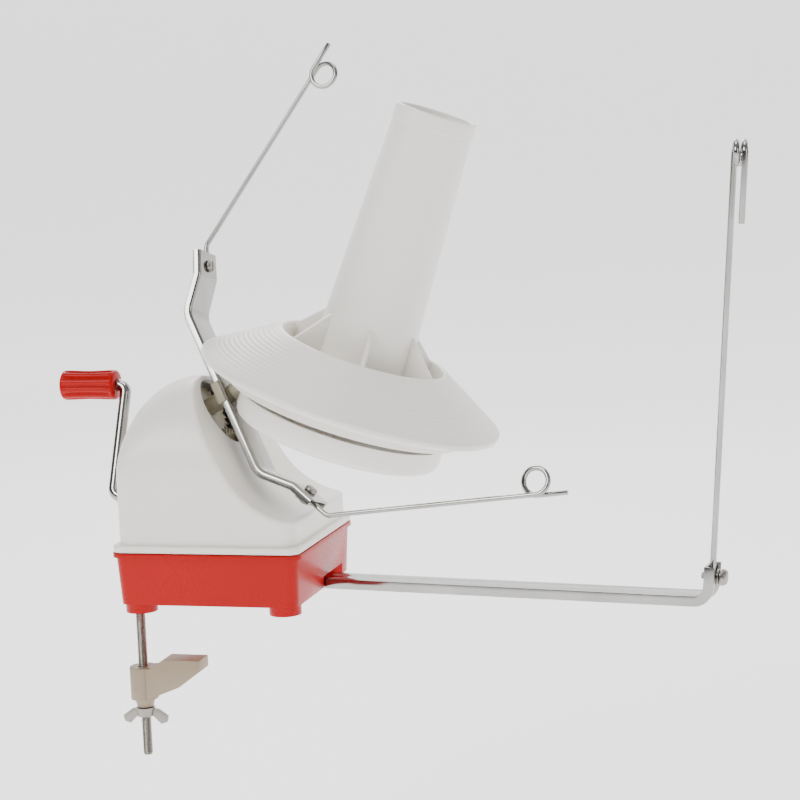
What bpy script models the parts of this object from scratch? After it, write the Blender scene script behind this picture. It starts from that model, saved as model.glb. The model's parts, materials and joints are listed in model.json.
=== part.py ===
"""Hand-cranked ball winder, clamped to a table edge.

X runs from the crank towards the yarn guide, -Y is the side the user faces, Z is up.
The origin is the middle of the base in the plane of the table top.
"""
import math

import bmesh
import bpy
from mathutils import Matrix, Vector

MM = 0.001
GAP = 0.3 * MM                # between pieces that touch
RUNNING = 0.3 * MM            # radial clearance where one piece turns on another
PAST = 1 * MM                 # how far a cutter runs past the face it cuts
THROUGH = 60 * MM             # half length of a cutter that goes right through

# Base
BASE_LENGTH = 98.5 * MM
BASE_WIDTH = 97 * MM
BASE_TOP = 31 * MM
BASE_BOTTOM = 4.7 * MM
BASE_WALL = 2.5 * MM
BASE_DRAFT = 1.4 * MM         # how far the walls lean in, top to bottom
BASE_CORNER = 5 * MM
LIP_OVERHANG = 1.6 * MM
LIP_HEIGHT = 2.2 * MM
FLOOR_TOP = 14.5 * MM
FLOOR_THICKNESS = 2.5 * MM
FOOT_RADIUS = 8 * MM
FOOT_INSET = 8.4 * MM         # middle of a foot inside the walls
ARM_BOSS_RADIUS = 5 * MM
NOTCH_DEPTH = 5 * MM          # mouth in the right wall that the guide arm swings in
NOTCH_MARGIN = 1.2 * MM
NOTCH_SWING = 18 * MM
NOTCH_HEADROOM = 1.5 * MM

# Cover
COVER_WALL = 2.4 * MM
COVER_SETBACK = 2.8 * MM      # cover wall inside the base's edge
COVER_FLANGE = 3.4 * MM       # height of the flange that rests on the base
COVER_CORNER = 7 * MM
FLANGE_SETBACK = 0.4 * MM     # flange inside the base's lip
ARCH_SPRING = 68.5 * MM       # where the straight sides turn into the arch
ARCH_TOP = 114 * MM
BACK_SHOULDER = 86 * MM       # top of the back wall
BACK_ROUND = 32 * MM          # how far along X the back rounds over
LOW_FRONT = 46.5 * MM         # top of the low part under the cone
FRONT_BLEND = 45 * MM         # hollow curve between sloping face and low part
FACE_SETBACK = 10.2 * MM      # sloping face behind the flyer's plane
OPENING_RADIUS = 18.5 * MM
OPENING_DROP = 5 * MM         # below the flyer axis, along the face
BOSS_RADIUS = 4 * MM
BOSS_TOP = 36 * MM
BOSS_IN_WALL = 0.8 * MM
BOSS_SPREAD = 0.22            # share of the base's length, from its middle

# Screws
SCREW_RADIUS = 1.5 * MM
SCREW_HEAD_RADIUS = 3 * MM
SCREW_HEAD_HEIGHT = 1.8 * MM
SLOT_HALF_WIDTH = 0.4 * MM
COVER_SCREW_LENGTH = 14 * MM
BRACKET_SCREW_LENGTH = 6 * MM

# The two tilted axes, both in the plane Y = 0
HUB = Vector((3.2 * MM, 0, 105.4 * MM))     # where the flyer's web crosses its axis
FLYER_TILT = math.radians(60)
SPINDLE_TILT = math.radians(20)
HUB_TO_MEETING = 90.8 * MM    # along the flyer axis, to where the axes cross
FLYER_REST_TURN = math.radians(-19)

# Flyer
WEB_WIDTH = 20 * MM
FLYER_DEPTH = 4.4 * MM
FLYER_SHEET = 1.2 * MM
FLYER_BEND = 9 * MM
HALF_BAR = 46.6 * MM
SECOND_BEND = Vector((61.5 * MM, 13.4 * MM))
BAR_END = Vector((73.8 * MM, 18.6 * MM))
HUB_BLOCK = 11.6 * MM
BLOCK_HALF_WIDTH = 10.4 * MM
BLOCK_PROUD = 1.4 * MM
FLYER_WIRE = 2.5 * MM
WIRE_STUB = {"lower": 9.2 * MM, "upper": 4.7 * MM}
WIRE_SPLAY = {"lower": math.radians(23.8), "upper": math.radians(27.4)}
WIRE_REACH = {"lower": 109 * MM, "upper": 107 * MM}
WIRE_TIP = 15 * MM
WIRE_BEND = 5 * MM
WIRE_FROM_BEND = 3 * MM       # start of the wire past the bar's second bend
EYE_RADIUS = 6.4 * MM
EYE_PITCH = 3.1 * MM
CLAMP_SCREW_RADIUS = 1.5 * MM
CLAMP_HEAD_RADIUS = 3.2 * MM
CLAMP_HEAD_HEIGHT = 2 * MM
CLAMP_SCREW_SEAT = 0.45       # share of the bar's end piece
CLAMP_SCREW_END = 3 * MM
CLAMP_PLATE = Vector((3.4 * MM, 4 * MM))    # half sizes
CLAMP_PLATE_THICKNESS = 1.8 * MM

# Post, sleeve and gears
POST_RADIUS = 3 * MM
POST_BACK = -35 * MM
POST_FRONT = 30.8 * MM
HEAD_PLATE = -26 * MM         # front of the bracket's leaning head
SLEEVE_WALL = 1 * MM
POST_NUT_RADIUS = 5.2 * MM
POST_NUT_THICKNESS = 4 * MM
FLYER_GEAR_TEETH = 22
CRANK_GEAR_TEETH = 54
FLYER_GEAR_FRONT = -16 * MM
GEAR_FACE = 8 * MM
PINION_TEETH = 11
RING_TEETH = 85
PINION_FRONT = 18.2 * MM
PINION_FACE = 8 * MM
TOOTH_BACKLASH = 0.22         # share of the tooth pitch left free
TIP_WIDTH = 0.55              # of the tooth's width at the pitch cone
ROOT_WIDTH = 1.35
TIP_HEIGHT = 0.8              # of the module
ROOT_DEPTH = 1.15
GEAR_EDGE = 0.4 * MM          # flat rim past the teeth
GEAR_BACK = 2 * MM            # disc behind the crank gear's teeth
GEAR_RECESS = 5 * MM
GEAR_HUB_WALL = 6 * MM

# Crank
CRANK_HEIGHT = 51 * MM
CRANK_ROD = 6 * MM
CRANK_OUT = 66 * MM
CRANK_LEAN = 1.5 * MM
CRANK_ARM = 60 * MM
CRANK_REST_TURN = math.radians(-21.5)
GRIP_RADIUS = 7.9 * MM
GRIP_LENGTH = 30.5 * MM
GRIP_FROM_X = 69.6 * MM
GRIP_FLUTES = 14
GRIP_FLUTE_DEPTH = 0.9 * MM
GRIP_STATIONS = ((0, 0.8, 0.1), (0.05, 0.97, 0.5), (0.12, 1, 1), (0.5, 0.95, 1),
                 (0.88, 1, 1), (0.96, 0.97, 0.5), (1, 0.82, 0.1))   # along, radius, flute depth
GRIP_END_WALL = 3 * MM
ROD_IN_GRIP = 25.5 * MM
SHAFT_END = 4 * MM
CRANK_BEND = 4.5 * MM
CRANK_COLLAR_RADIUS = 6 * MM
CRANK_COLLAR_LENGTH = 5 * MM
BUSH_WALL = 1.3 * MM
BUSH_HEAD = 1.5 * MM
BUSH_REACH = 1 * MM           # past the wall it sits in

# Bracket that carries the post and the crank shaft
PLATE = 2 * MM
BRACKET_WIDTH = 30 * MM
BRACKET_FOOT = 15 * MM
BRACKET_HEAD = 12 * MM
BRACKET_NECK = 9 * MM         # bend below the post, along the head

# Cone, pan and spindle, heights along the spindle from the meeting point
TUBE_TOP = 96 * MM
TUBE_TOP_RADIUS = 19.8 * MM
TUBE_FOOT_RADIUS = 24.6 * MM
TUBE_WALL = 2 * MM
COLLAR_HEIGHT = 7.5 * MM
COLLAR_LIFT = 0.5 * MM
FLANGE_TOP = -26 * MM
FLANGE_TOP_RADIUS = 42.8 * MM
RIM_HEIGHT = -46.8 * MM
RIM_OVERHANG = 16 * MM        # rim outside the ring gear
RIM_BAND = 4 * MM             # width of the band under the rim
RIM_THICKNESS = 3.5 * MM
FLANGE_WALL = 2.5 * MM
WELL_DEPTH = 8 * MM
WELL_FLOOR = 2.5 * MM
GUSSETS = 6
GUSSET_THICKNESS = 2 * MM
GUSSET_HEIGHT = 15 * MM
GUSSET_TURN = math.radians(46)
CONE_HUB_RADIUS = 8 * MM
CONE_HUB_BELOW_RIM = 6 * MM
SPINDLE_RADIUS = 4 * MM
PAN_BOTTOM = -74 * MM
PAN_RADIUS = 53 * MM
PAN_RIM = -61.5 * MM
PAN_WALL = 2.2 * MM
PAN_ROUND = 4 * MM
PAN_BOSS_RADIUS = 9 * MM
PAN_BOSS_HEIGHT = 14 * MM
POST_BLOCK_HALF_WIDTH = 6.5 * MM
POST_BLOCK_OVER = 1.6 * MM    # over the post
POST_BLOCK_END = 2 * MM       # past the post's front end
PINION_PASS = 10 * MM         # radius of the slot that the pinion enters by
PIN_ABOVE_WELL = 8 * MM
PIN_GROOVE = 0.8 * MM
CLIP_RADIUS = 7 * MM
CLIP_THICKNESS = 0.7 * MM
RING_WALL = 4 * MM
RING_WIDTH = 16 * MM

# Yarn guide
ARM_PIVOT = Vector((34 * MM, 10 * MM, 0))
ARM_YAW = math.radians(-6.95)
ARM_TOP = 9.2 * MM
ARM_DEPTH = 5 * MM
ARM_SHEET = 1.2 * MM
ARM_WIDTH = 15 * MM
ARM_REACH = 209 * MM
ARM_LEG_TOP = 23.5 * MM
ARM_BEND = 5 * MM
GUIDE_LEAN = math.radians(4.1)
GUIDE_WIRE = 3 * MM
GUIDE_FOOT = 12 * MM
GUIDE_HEIGHT = 217 * MM
COIL_RADIUS = 5 * MM
COIL_PITCH = 3.9 * MM
COIL_TURNS = 1.5
TAIL = 32 * MM
WIRE_ABOVE_CORNER = 4 * MM
GUIDE_SCREW_ABOVE_CORNER = 8.3 * MM
GUIDE_SCREW_RADIUS = 1.6 * MM
GUIDE_SCREW_HEAD = Vector((4 * MM, 3.2 * MM))    # radius and height
GUIDE_SCREW_LENGTH = 9 * MM
WASHER_RADIUS = 4 * MM
WASHER_THICKNESS = 1 * MM
PIVOT_SCREW_HEAD = Vector((3.6 * MM, 2.4 * MM))
PIVOT_SCREW_LENGTH = 7.5 * MM

# Table clamp
CLAMP_AT = Vector((-39.5 * MM, -36 * MM, 0))
CLAMP_ROD = 5 * MM
CLAMP_ROD_END = -75 * MM
JAW_BOSS_RADIUS = 7 * MM
JAW_BOSS_TOP = -29 * MM
JAW_BOSS_BOTTOM = -45.5 * MM
JAW_HUB_BOTTOM = -49.8 * MM
JAW_PAD_TOP = -24 * MM
JAW_HUB_RADIUS = 5.2 * MM
JAW_WIDTH = 13 * MM
JAW_PAD_FROM = 13 * MM        # from the rod to where the pad begins
JAW_REACH = 32.5 * MM
JAW_TIP_DEPTH = 5.5 * MM
JAW_HEEL = Vector((21 * MM, 14 * MM))    # out from the rod, down from the pad
NUT_SPAN = 24 * MM
NUT_THICKNESS = 4 * MM
NUT_RADIUS = 4.6 * MM
WING_NUT_HEIGHT = 4.5 * MM
WING_NUT_RADIUS = 5 * MM
WING_HALF_THICKNESS = 0.9 * MM
WING_ROOT = 3.6 * MM
WING_DROOP = 8.6 * MM


# ---------------------------------------------------------------- helpers

def clear_scene():
    for item in list(bpy.data.objects):
        bpy.data.objects.remove(item)


def material(name, colour, roughness, metallic=0.0):
    made = bpy.data.materials.new(name)
    made.use_nodes = True
    shader = made.node_tree.nodes["Principled BSDF"]
    shader.inputs["Base Color"].default_value = (*colour, 1)
    shader.inputs["Roughness"].default_value = roughness
    shader.inputs["Metallic"].default_value = metallic
    return made


def frame(name, matrix):
    """An empty that pieces are parented to."""
    empty = bpy.data.objects.new(name, None)
    bpy.context.scene.collection.objects.link(empty)
    empty.matrix_world = matrix
    return empty


def add(name, data, look=None, parent=None, place=None):
    item = bpy.data.objects.new(name, data)
    bpy.context.scene.collection.objects.link(item)
    if look:
        data.materials.append(look)
    if parent:
        item.parent = parent
    if place:
        item.matrix_local = place
    return item


def mesh_from(work, name, smooth_angle=35):
    bmesh.ops.remove_doubles(work, verts=work.verts, dist=1e-6)
    bmesh.ops.recalc_face_normals(work, faces=work.faces)
    mesh = bpy.data.meshes.new(name)
    work.to_mesh(mesh)
    work.free()
    mesh.shade_smooth()
    mesh.set_sharp_from_angle(angle=math.radians(smooth_angle))
    return mesh


def loft(name, rings):
    """A closed solid through rings of points, all with the same count."""
    work = bmesh.new()
    loops = [[work.verts.new(point) for point in ring] for ring in rings]
    count = len(loops[0])
    for lower, upper in zip(loops, loops[1:]):
        for i in range(count):
            j = (i + 1) % count
            work.faces.new((lower[i], lower[j], upper[j], upper[i]))
    work.faces.new(loops[0])
    work.faces.new(loops[-1])
    return mesh_from(work, name)


def prism(name, outline, low, high):
    """A closed outline in X and Y, from low to high along Z."""
    return loft(name, [[(x, y, z) for x, y in outline] for z in (low, high)])


def side_prism(name, outline, half_width):
    """A closed outline in X and Z, from -half_width to half_width along Y."""
    return loft(name, [[(x, y, z) for x, z in outline] for y in (-half_width, half_width)])


def turned(name, profile, segments=40):
    """A closed profile of radius and height, turned about Z."""
    work = bmesh.new()
    ring = [work.verts.new((radius, 0, height)) for radius, height in profile]
    edges = [work.edges.new((ring[i], ring[(i + 1) % len(ring)])) for i in range(len(ring))]
    on_axis = [edge for edge in edges if all(abs(vert.co.x) < 1e-9 for vert in edge.verts)]
    bmesh.ops.delete(work, geom=on_axis, context="EDGES")
    bmesh.ops.spin(work, geom=work.verts[:] + work.edges[:], cent=(0, 0, 0), axis=(0, 0, 1),
                   angle=math.tau, steps=segments, use_merge=True)
    return mesh_from(work, name)


def disc(radius, low, high, inner=0.0):
    """A profile for a plain cylinder or tube."""
    return [(inner, low), (radius, low), (radius, high), (inner, high)]


def cylinder(name, radius, low, high, segments=32):
    return turned(name, disc(radius, low, high), segments)


def hexagon(radius):
    corners = [math.radians(60 * i) for i in range(6)]
    return [(radius * math.cos(angle), radius * math.sin(angle)) for angle in corners]


def rectangle(half_x, half_y):
    return [(-half_x, -half_y), (half_x, -half_y), (half_x, half_y), (-half_x, half_y)]


def rounded_rectangle(half_x, half_y, corner, steps=5):
    points = []
    for quarter, (sign_x, sign_y) in enumerate(((1, 1), (-1, 1), (-1, -1), (1, -1))):
        for i in range(steps + 1):
            angle = math.radians(90 * (quarter + i / steps))
            points.append((sign_x * (half_x - corner) + corner * math.cos(angle),
                           sign_y * (half_y - corner) + corner * math.sin(angle)))
    return points


def offset_path(points, distance):
    """The path moved to its right-hand side, with mitred corners."""
    moved = []
    for i, point in enumerate(points):
        before = (point - points[i - 1]).normalized() if i else None
        after = (points[i + 1] - point).normalized() if i + 1 < len(points) else None
        first = before or after
        second = after or before
        normal = Vector((first.y, -first.x)) + Vector((second.y, -second.x))
        normal.normalize()
        stretch = normal.dot(Vector((first.y, -first.x)))
        moved.append(point + normal * distance / stretch)
    return moved


def channel(name, path, width, depth, sheet, look, parent):
    """A sheet channel along a path in X and Z, its flanges on the path's right-hand side."""
    outline = path + offset_path(path, depth)[::-1]
    target = add(name, side_prism(name, [tuple(p) for p in outline], width / 2), look, parent)
    before = (path[0] - path[1]).normalized() * depth
    after = (path[-1] - path[-2]).normalized() * depth
    longer = [path[0] + before] + path[1:-1] + [path[-1] + after]
    hollow = offset_path(longer, sheet) + offset_path(longer, depth * 1.5)[::-1]
    cut(target, side_prism(name + "_hollow", [tuple(p) for p in hollow], width / 2 - sheet), parent)
    return target


def rounded_path(points, radius, step=math.radians(15)):
    """Replaces each inner corner of a path by an arc."""
    path = [points[0]]
    for before, corner, after in zip(points, points[1:], points[2:]):
        back = (before - corner).normalized()
        ahead = (after - corner).normalized()
        turn = math.pi - back.angle(ahead)
        reach = radius * math.tan(turn / 2)
        centre = corner + (back + ahead).normalized() * radius / math.cos(turn / 2)
        start = corner + back * reach - centre
        finish = corner + ahead * reach - centre
        steps = max(2, round(turn / step))
        for i in range(steps + 1):
            share = i / steps
            blend = (start * math.sin((1 - share) * turn) + finish * math.sin(share * turn))
            path.append(centre + blend / math.sin(turn))
    path.append(points[-1])
    return path


def wire(name, points, thickness, look, parent=None, place=None, resolution=2):
    """Round wire along a path, as a bevelled curve with filled ends."""
    curve = bpy.data.curves.new(name, "CURVE")
    curve.dimensions = "3D"
    curve.bevel_depth = thickness / 2
    curve.bevel_resolution = resolution
    curve.use_fill_caps = True
    spline = curve.splines.new("POLY")
    spline.points.add(len(points) - 1)
    for knot, point in zip(spline.points, points):
        knot.co = (*point, 1)
    return add(name, curve, look, parent, place)


def apply_tool(target, tool, operation):
    modifier = target.modifiers.new(tool.name, "BOOLEAN")
    modifier.operation = operation
    modifier.solver = "EXACT"
    modifier.object = tool
    tool.hide_render = True
    tool.display_type = "WIRE"


def cut(target, mesh, parent=None, place=None):
    apply_tool(target, add("cut_" + mesh.name, mesh, None, parent, place), "DIFFERENCE")


def join(target, mesh, parent=None, place=None):
    apply_tool(target, add("join_" + mesh.name, mesh, None, parent, place), "UNION")


def shift(x=0.0, y=0.0, z=0.0):
    return Matrix.Translation((x, y, z))


# ---------------------------------------------------------------- frames

def axis_frame(origin, tilt):
    """Local Z is the tilted axis; local X points down and forwards."""
    return Matrix.Translation(origin) @ Matrix.Rotation(tilt, 4, "Y")


FLYER_FRAME = axis_frame(HUB, FLYER_TILT)
MEETING = FLYER_FRAME @ Vector((0, 0, HUB_TO_MEETING))
SPINDLE_FRAME = axis_frame(MEETING, SPINDLE_TILT)
CRANK_FRAME = axis_frame(Vector((0, 0, CRANK_HEIGHT)), math.pi / 2)
ARM_OF_CRANK = Matrix.Translation((0, 0, CRANK_HEIGHT)) @ Matrix.Rotation(CRANK_REST_TURN, 4, "X")
ARM_FRAME = Matrix.Translation(ARM_PIVOT) @ Matrix.Rotation(ARM_YAW, 4, "Z")


# ---------------------------------------------------------------- gears

def cone_pair(teeth_small, teeth_large, shaft_angle, internal):
    """Pitch-cone half angles of two bevel gears, the small one first."""
    side = -1 if internal else 1
    small = math.atan2(math.sin(shaft_angle),
                       teeth_large / teeth_small + side * math.cos(shaft_angle))
    return small, shaft_angle - side * small


def toothed_ring(teeth, pitch_angle, phase, internal=False):
    """Unit directions from the apex round one bevel gear, tooth by tooth."""
    spread = math.sin(pitch_angle)
    pitch = math.tau / teeth
    half_tooth = pitch * (1 - TOOTH_BACKLASH) / 4
    half_tip = half_tooth * TIP_WIDTH
    half_root = half_tooth * ROOT_WIDTH
    module = spread * 2 / teeth
    tip = module * TIP_HEIGHT
    root = module * ROOT_DEPTH
    if internal:
        tip, root = -tip, -root
    ring = []
    for i in range(teeth):
        middle = phase + i * pitch
        for angle, lift in ((middle - half_root, -root), (middle - half_tip, tip),
                            (middle + half_tip, tip), (middle + half_root, -root)):
            polar = pitch_angle + lift
            ring.append(Vector((math.sin(polar) * math.cos(angle),
                                math.sin(polar) * math.sin(angle), math.cos(polar))))
    return ring


def gear_body(name, ring, far, near, apex_height, low, high, sign):
    """Teeth between two distances from the apex, closed by flat ends at low and high.

    sign is -1 where the gear lies below its apex and 1 where it lies above it.
    """
    def at(direction, distance):
        return Vector((direction.x * distance, direction.y * distance,
                       apex_height + sign * direction.z * distance))

    outer = [at(direction, far) for direction in ring]
    inner = [at(direction, near) for direction in ring]
    ends = sorted((low, high), reverse=sign > 0)
    rings = [[(p.x, p.y, ends[0]) for p in outer], outer, inner,
             [(p.x, p.y, ends[1]) for p in inner]]
    return loft(name, rings)


PINION_ANGLE, RING_ANGLE = cone_pair(PINION_TEETH, RING_TEETH, FLYER_TILT - SPINDLE_TILT, True)
RING_FAR = (HUB_TO_MEETING - PINION_FRONT + PINION_FACE) / math.cos(PINION_ANGLE)
RING_NEAR = (HUB_TO_MEETING - PINION_FRONT) / math.cos(PINION_ANGLE)
RING_OUTSIDE = RING_FAR * math.sin(RING_ANGLE) + RING_WALL
RIM_RADIUS = RING_OUTSIDE + RIM_OVERHANG


# ---------------------------------------------------------------- base and cover

def base_half_sizes(height):
    """Outside half length and half width of the base's walls at a height."""
    share = (BASE_TOP - height) / (BASE_TOP - BASE_BOTTOM)
    inset = LIP_OVERHANG + BASE_DRAFT * share
    return BASE_LENGTH / 2 - inset, BASE_WIDTH / 2 - inset


def base_ring(height, inset=0.0):
    half_x, half_y = base_half_sizes(height)
    corner = max(BASE_CORNER - inset, 1 * MM)
    return [(x, y, height) for x, y in rounded_rectangle(half_x - inset, half_y - inset, corner)]


def foot_places():
    half_x, half_y = base_half_sizes(BASE_BOTTOM)
    return [(sx * (half_x - FOOT_INSET), sy * (half_y - FOOT_INSET)) for sx in (-1, 1) for sy in (-1, 1)]


def make_base(look):
    floor_bottom = FLOOR_TOP - FLOOR_THICKNESS
    base = add("base", loft("base", [base_ring(BASE_BOTTOM), base_ring(BASE_TOP)]), look)
    lip = rounded_rectangle(BASE_LENGTH / 2, BASE_WIDTH / 2, BASE_CORNER + LIP_OVERHANG)
    join(base, prism("base_lip", lip, BASE_TOP - LIP_HEIGHT, BASE_TOP))
    cut(base, loft("base_well", [base_ring(FLOOR_TOP, BASE_WALL),
                                 base_ring(BASE_TOP + PAST, BASE_WALL)]))
    cut(base, loft("base_hollow", [base_ring(BASE_BOTTOM - PAST, BASE_WALL),
                                   base_ring(floor_bottom, BASE_WALL)]))
    for i, (x, y) in enumerate(foot_places()):
        join(base, cylinder(f"foot_{i}", FOOT_RADIUS, 0, floor_bottom + PAST, 24), None, shift(x, y))
    join(base, cylinder("arm_boss", ARM_BOSS_RADIUS, ARM_TOP + GAP, floor_bottom + PAST, 20),
         None, Matrix.Translation(ARM_PIVOT))
    wall_x = base_half_sizes(BASE_BOTTOM)[0]
    arm_at_wall = ARM_PIVOT.y + (wall_x - ARM_PIVOT.x) * math.tan(ARM_YAW)
    notch_low = arm_at_wall - ARM_WIDTH / 2 - NOTCH_MARGIN
    notch_high = notch_low + ARM_WIDTH + NOTCH_SWING
    notch_end = BASE_LENGTH / 2 + PAST
    notch = [(wall_x - NOTCH_DEPTH, notch_low), (notch_end, notch_low),
             (notch_end, notch_high), (wall_x - NOTCH_DEPTH, notch_high)]
    cut(base, prism("arm_notch", notch, BASE_BOTTOM - PAST, ARM_TOP + NOTCH_HEADROOM))
    rod_hole = cylinder("rod_hole", CLAMP_ROD / 2 + GAP, -PAST, FLOOR_TOP + PAST, 20)
    cut(base, rod_hole, None, Matrix.Translation(CLAMP_AT))
    pivot_hole = cylinder("pivot_hole", GUIDE_SCREW_RADIUS + GAP, ARM_TOP - PAST, FLOOR_TOP + PAST, 16)
    cut(base, pivot_hole, None, Matrix.Translation(ARM_PIVOT))
    for i, (x, y) in enumerate(boss_places()):
        cut(base, cylinder(f"cover_screw_hole_{i}", SCREW_RADIUS + GAP, floor_bottom - PAST,
                           FLOOR_TOP + PAST, 16), None, shift(x, y))


def boss_places():
    across = BASE_WIDTH / 2 - COVER_SETBACK - COVER_WALL - BOSS_RADIUS + BOSS_IN_WALL
    return [(sx * BASE_LENGTH * BOSS_SPREAD, sy * across) for sx in (-1, 1) for sy in (-1, 1)]


def cover_solid(name, inset, bottom):
    """The loaf-shaped cover before its front is cut, shrunk by inset."""
    half_x = BASE_LENGTH / 2 - COVER_SETBACK - inset
    half_y = BASE_WIDTH / 2 - COVER_SETBACK - inset
    corner = COVER_CORNER - inset
    round_centre = -(BASE_LENGTH / 2 - COVER_SETBACK) + BACK_ROUND
    stations = [-half_x + corner * (1 - math.cos(math.radians(a))) for a in (0, 22, 45, 67, 90)]
    steps = 6
    for i in range(1, steps + 1):
        angle = math.radians(90 * i / steps)
        x = round_centre - (round_centre + half_x) * math.cos(angle)
        if x > stations[-1] + GAP:
            stations.append(x)
    stations += [half_x - corner * (1 - math.sin(math.radians(a))) for a in (0, 30, 60, 90)]
    rings = []
    for x in stations:
        from_end = min(x + half_x, half_x - x)
        width = half_y
        if from_end < corner:
            width = half_y - corner + math.sqrt(max(corner ** 2 - (corner - from_end) ** 2, 0))
        top = ARCH_TOP - inset
        if x < round_centre:
            share = (round_centre - x) / (round_centre + half_x)
            top = BACK_SHOULDER - inset + (ARCH_TOP - BACK_SHOULDER) * math.sqrt(max(1 - share ** 2, 0))
        rise = top - ARCH_SPRING
        arch = [math.radians(a) for a in range(0, 181, 12)]
        ring = [(x, width, bottom)]
        ring += [(x, width * math.cos(a), ARCH_SPRING + rise * math.sin(a)) for a in arch]
        ring += [(x, -width, bottom)]
        rings.append(ring)
    return loft(name, rings)


def front_cut(name, inset):
    """Everything in front of the sloping face and above the low part."""
    normal = Vector((math.sin(FLYER_TILT), math.cos(FLYER_TILT)))
    down = Vector((math.cos(FLYER_TILT), -math.sin(FLYER_TILT)))
    hub = Vector((HUB.x, HUB.z))
    to_centre = FRONT_BLEND - FACE_SETBACK
    level = LOW_FRONT + FRONT_BLEND
    along = (hub.y + to_centre * normal.y - level) / -down.y
    centre = hub + normal * to_centre + down * along
    reach = FRONT_BLEND + inset
    start = math.pi + math.atan2(normal.y, normal.x)
    finish = 1.5 * math.pi
    arc = []
    steps = 8
    for i in range(steps + 1):
        angle = start + (finish - start) * i / steps
        arc.append(centre + reach * Vector((math.cos(angle), math.sin(angle))))
    top = arc[0] - down * ARCH_TOP
    outline = [top] + arc + [Vector((BASE_LENGTH, arc[-1].y)), Vector((BASE_LENGTH, top.y))]
    return side_prism(name, [(p.x, p.y) for p in outline], BASE_WIDTH)


def make_cover(look):
    seat = BASE_TOP + GAP
    cover = add("cover", cover_solid("cover", 0, seat), look)
    cut(cover, front_cut("cover_front", 0))
    flange = rounded_rectangle(BASE_LENGTH / 2 - FLANGE_SETBACK, BASE_WIDTH / 2 - FLANGE_SETBACK,
                               BASE_CORNER)
    join(cover, prism("cover_flange", flange, seat, seat + COVER_FLANGE))
    hollow = add("cut_cover_hollow", cover_solid("cover_hollow", COVER_WALL, seat - PAST))
    apply_tool(hollow, add("cut_cover_hollow_front", front_cut("hollow_front", COVER_WALL)),
               "DIFFERENCE")
    apply_tool(cover, hollow, "DIFFERENCE")
    for i, (x, y) in enumerate(boss_places()):
        join(cover, turned(f"cover_boss_{i}", disc(BOSS_RADIUS, seat, BOSS_TOP, SCREW_RADIUS + GAP), 20),
             None, shift(x, y))
    opening = cylinder("opening", OPENING_RADIUS, -FACE_SETBACK * 3, 0, 40)
    cut(cover, opening, None, FLYER_FRAME @ shift(OPENING_DROP))
    shaft_hole = cylinder("shaft_hole", CRANK_ROD / 2 + RUNNING + BUSH_WALL + GAP,
                          -THROUGH, -BASE_LENGTH * 0.3, 24)
    cut(cover, shaft_hole, None, CRANK_FRAME)


def slotted_screw(name, head_radius, head_height, shank_radius, length, look, place, parent=None):
    """Head below Z = 0, slot in its face, shank up along Z."""
    profile = [(0, -head_height), (head_radius * 0.8, -head_height), (head_radius, -head_height * 0.5),
               (head_radius, 0), (shank_radius, 0), (shank_radius, length), (0, length)]
    screw = add(name, turned(name, profile, 20), look, parent, place)
    slot = rectangle(head_radius * 1.2, SLOT_HALF_WIDTH)
    cut(screw, prism(name + "_slot", slot, -head_height - PAST, -head_height * 0.55), parent, place)


# ---------------------------------------------------------------- bracket, post and crank

def make_bracket(look):
    """A bent strip: foot on the floor, upright for the shaft, leaning head for the post."""
    low = FLYER_FRAME @ Vector((BRACKET_NECK, 0, HEAD_PLATE))
    high = FLYER_FRAME @ Vector((-BRACKET_HEAD, 0, HEAD_PLATE))
    foot = FLOOR_TOP + GAP
    path = [Vector((high.x, high.z)), Vector((low.x, low.z)), Vector((low.x, foot)),
            Vector((low.x - BRACKET_FOOT, foot))]
    back = offset_path(path, PLATE)
    outline = [(p.x, p.y) for p in path + back[::-1]]
    bracket = add("gear_bracket", side_prism("gear_bracket", outline, BRACKET_WIDTH / 2), look)
    post_hole = cylinder("post_hole", POST_RADIUS + GAP, -THROUGH, 0, 24)
    cut(bracket, post_hole, None, FLYER_FRAME)
    bearing = cylinder("bearing_hole", CRANK_ROD / 2 + RUNNING + BUSH_WALL + GAP,
                       low.x - THROUGH / 2, low.x + THROUGH / 2, 24)
    cut(bracket, bearing, None, CRANK_FRAME)
    for i, side in enumerate((-1, 1)):
        hole = cylinder(f"bracket_screw_hole_{i}", SCREW_RADIUS + GAP, foot - PAST,
                        foot + PLATE + PAST, 16)
        cut(bracket, hole, None, bracket_screw_place(low.x, side))
    return low.x


def bracket_screw_place(bracket_x, side):
    return shift(bracket_x - BRACKET_FOOT * 0.6, side * BRACKET_WIDTH * 0.3)


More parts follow.
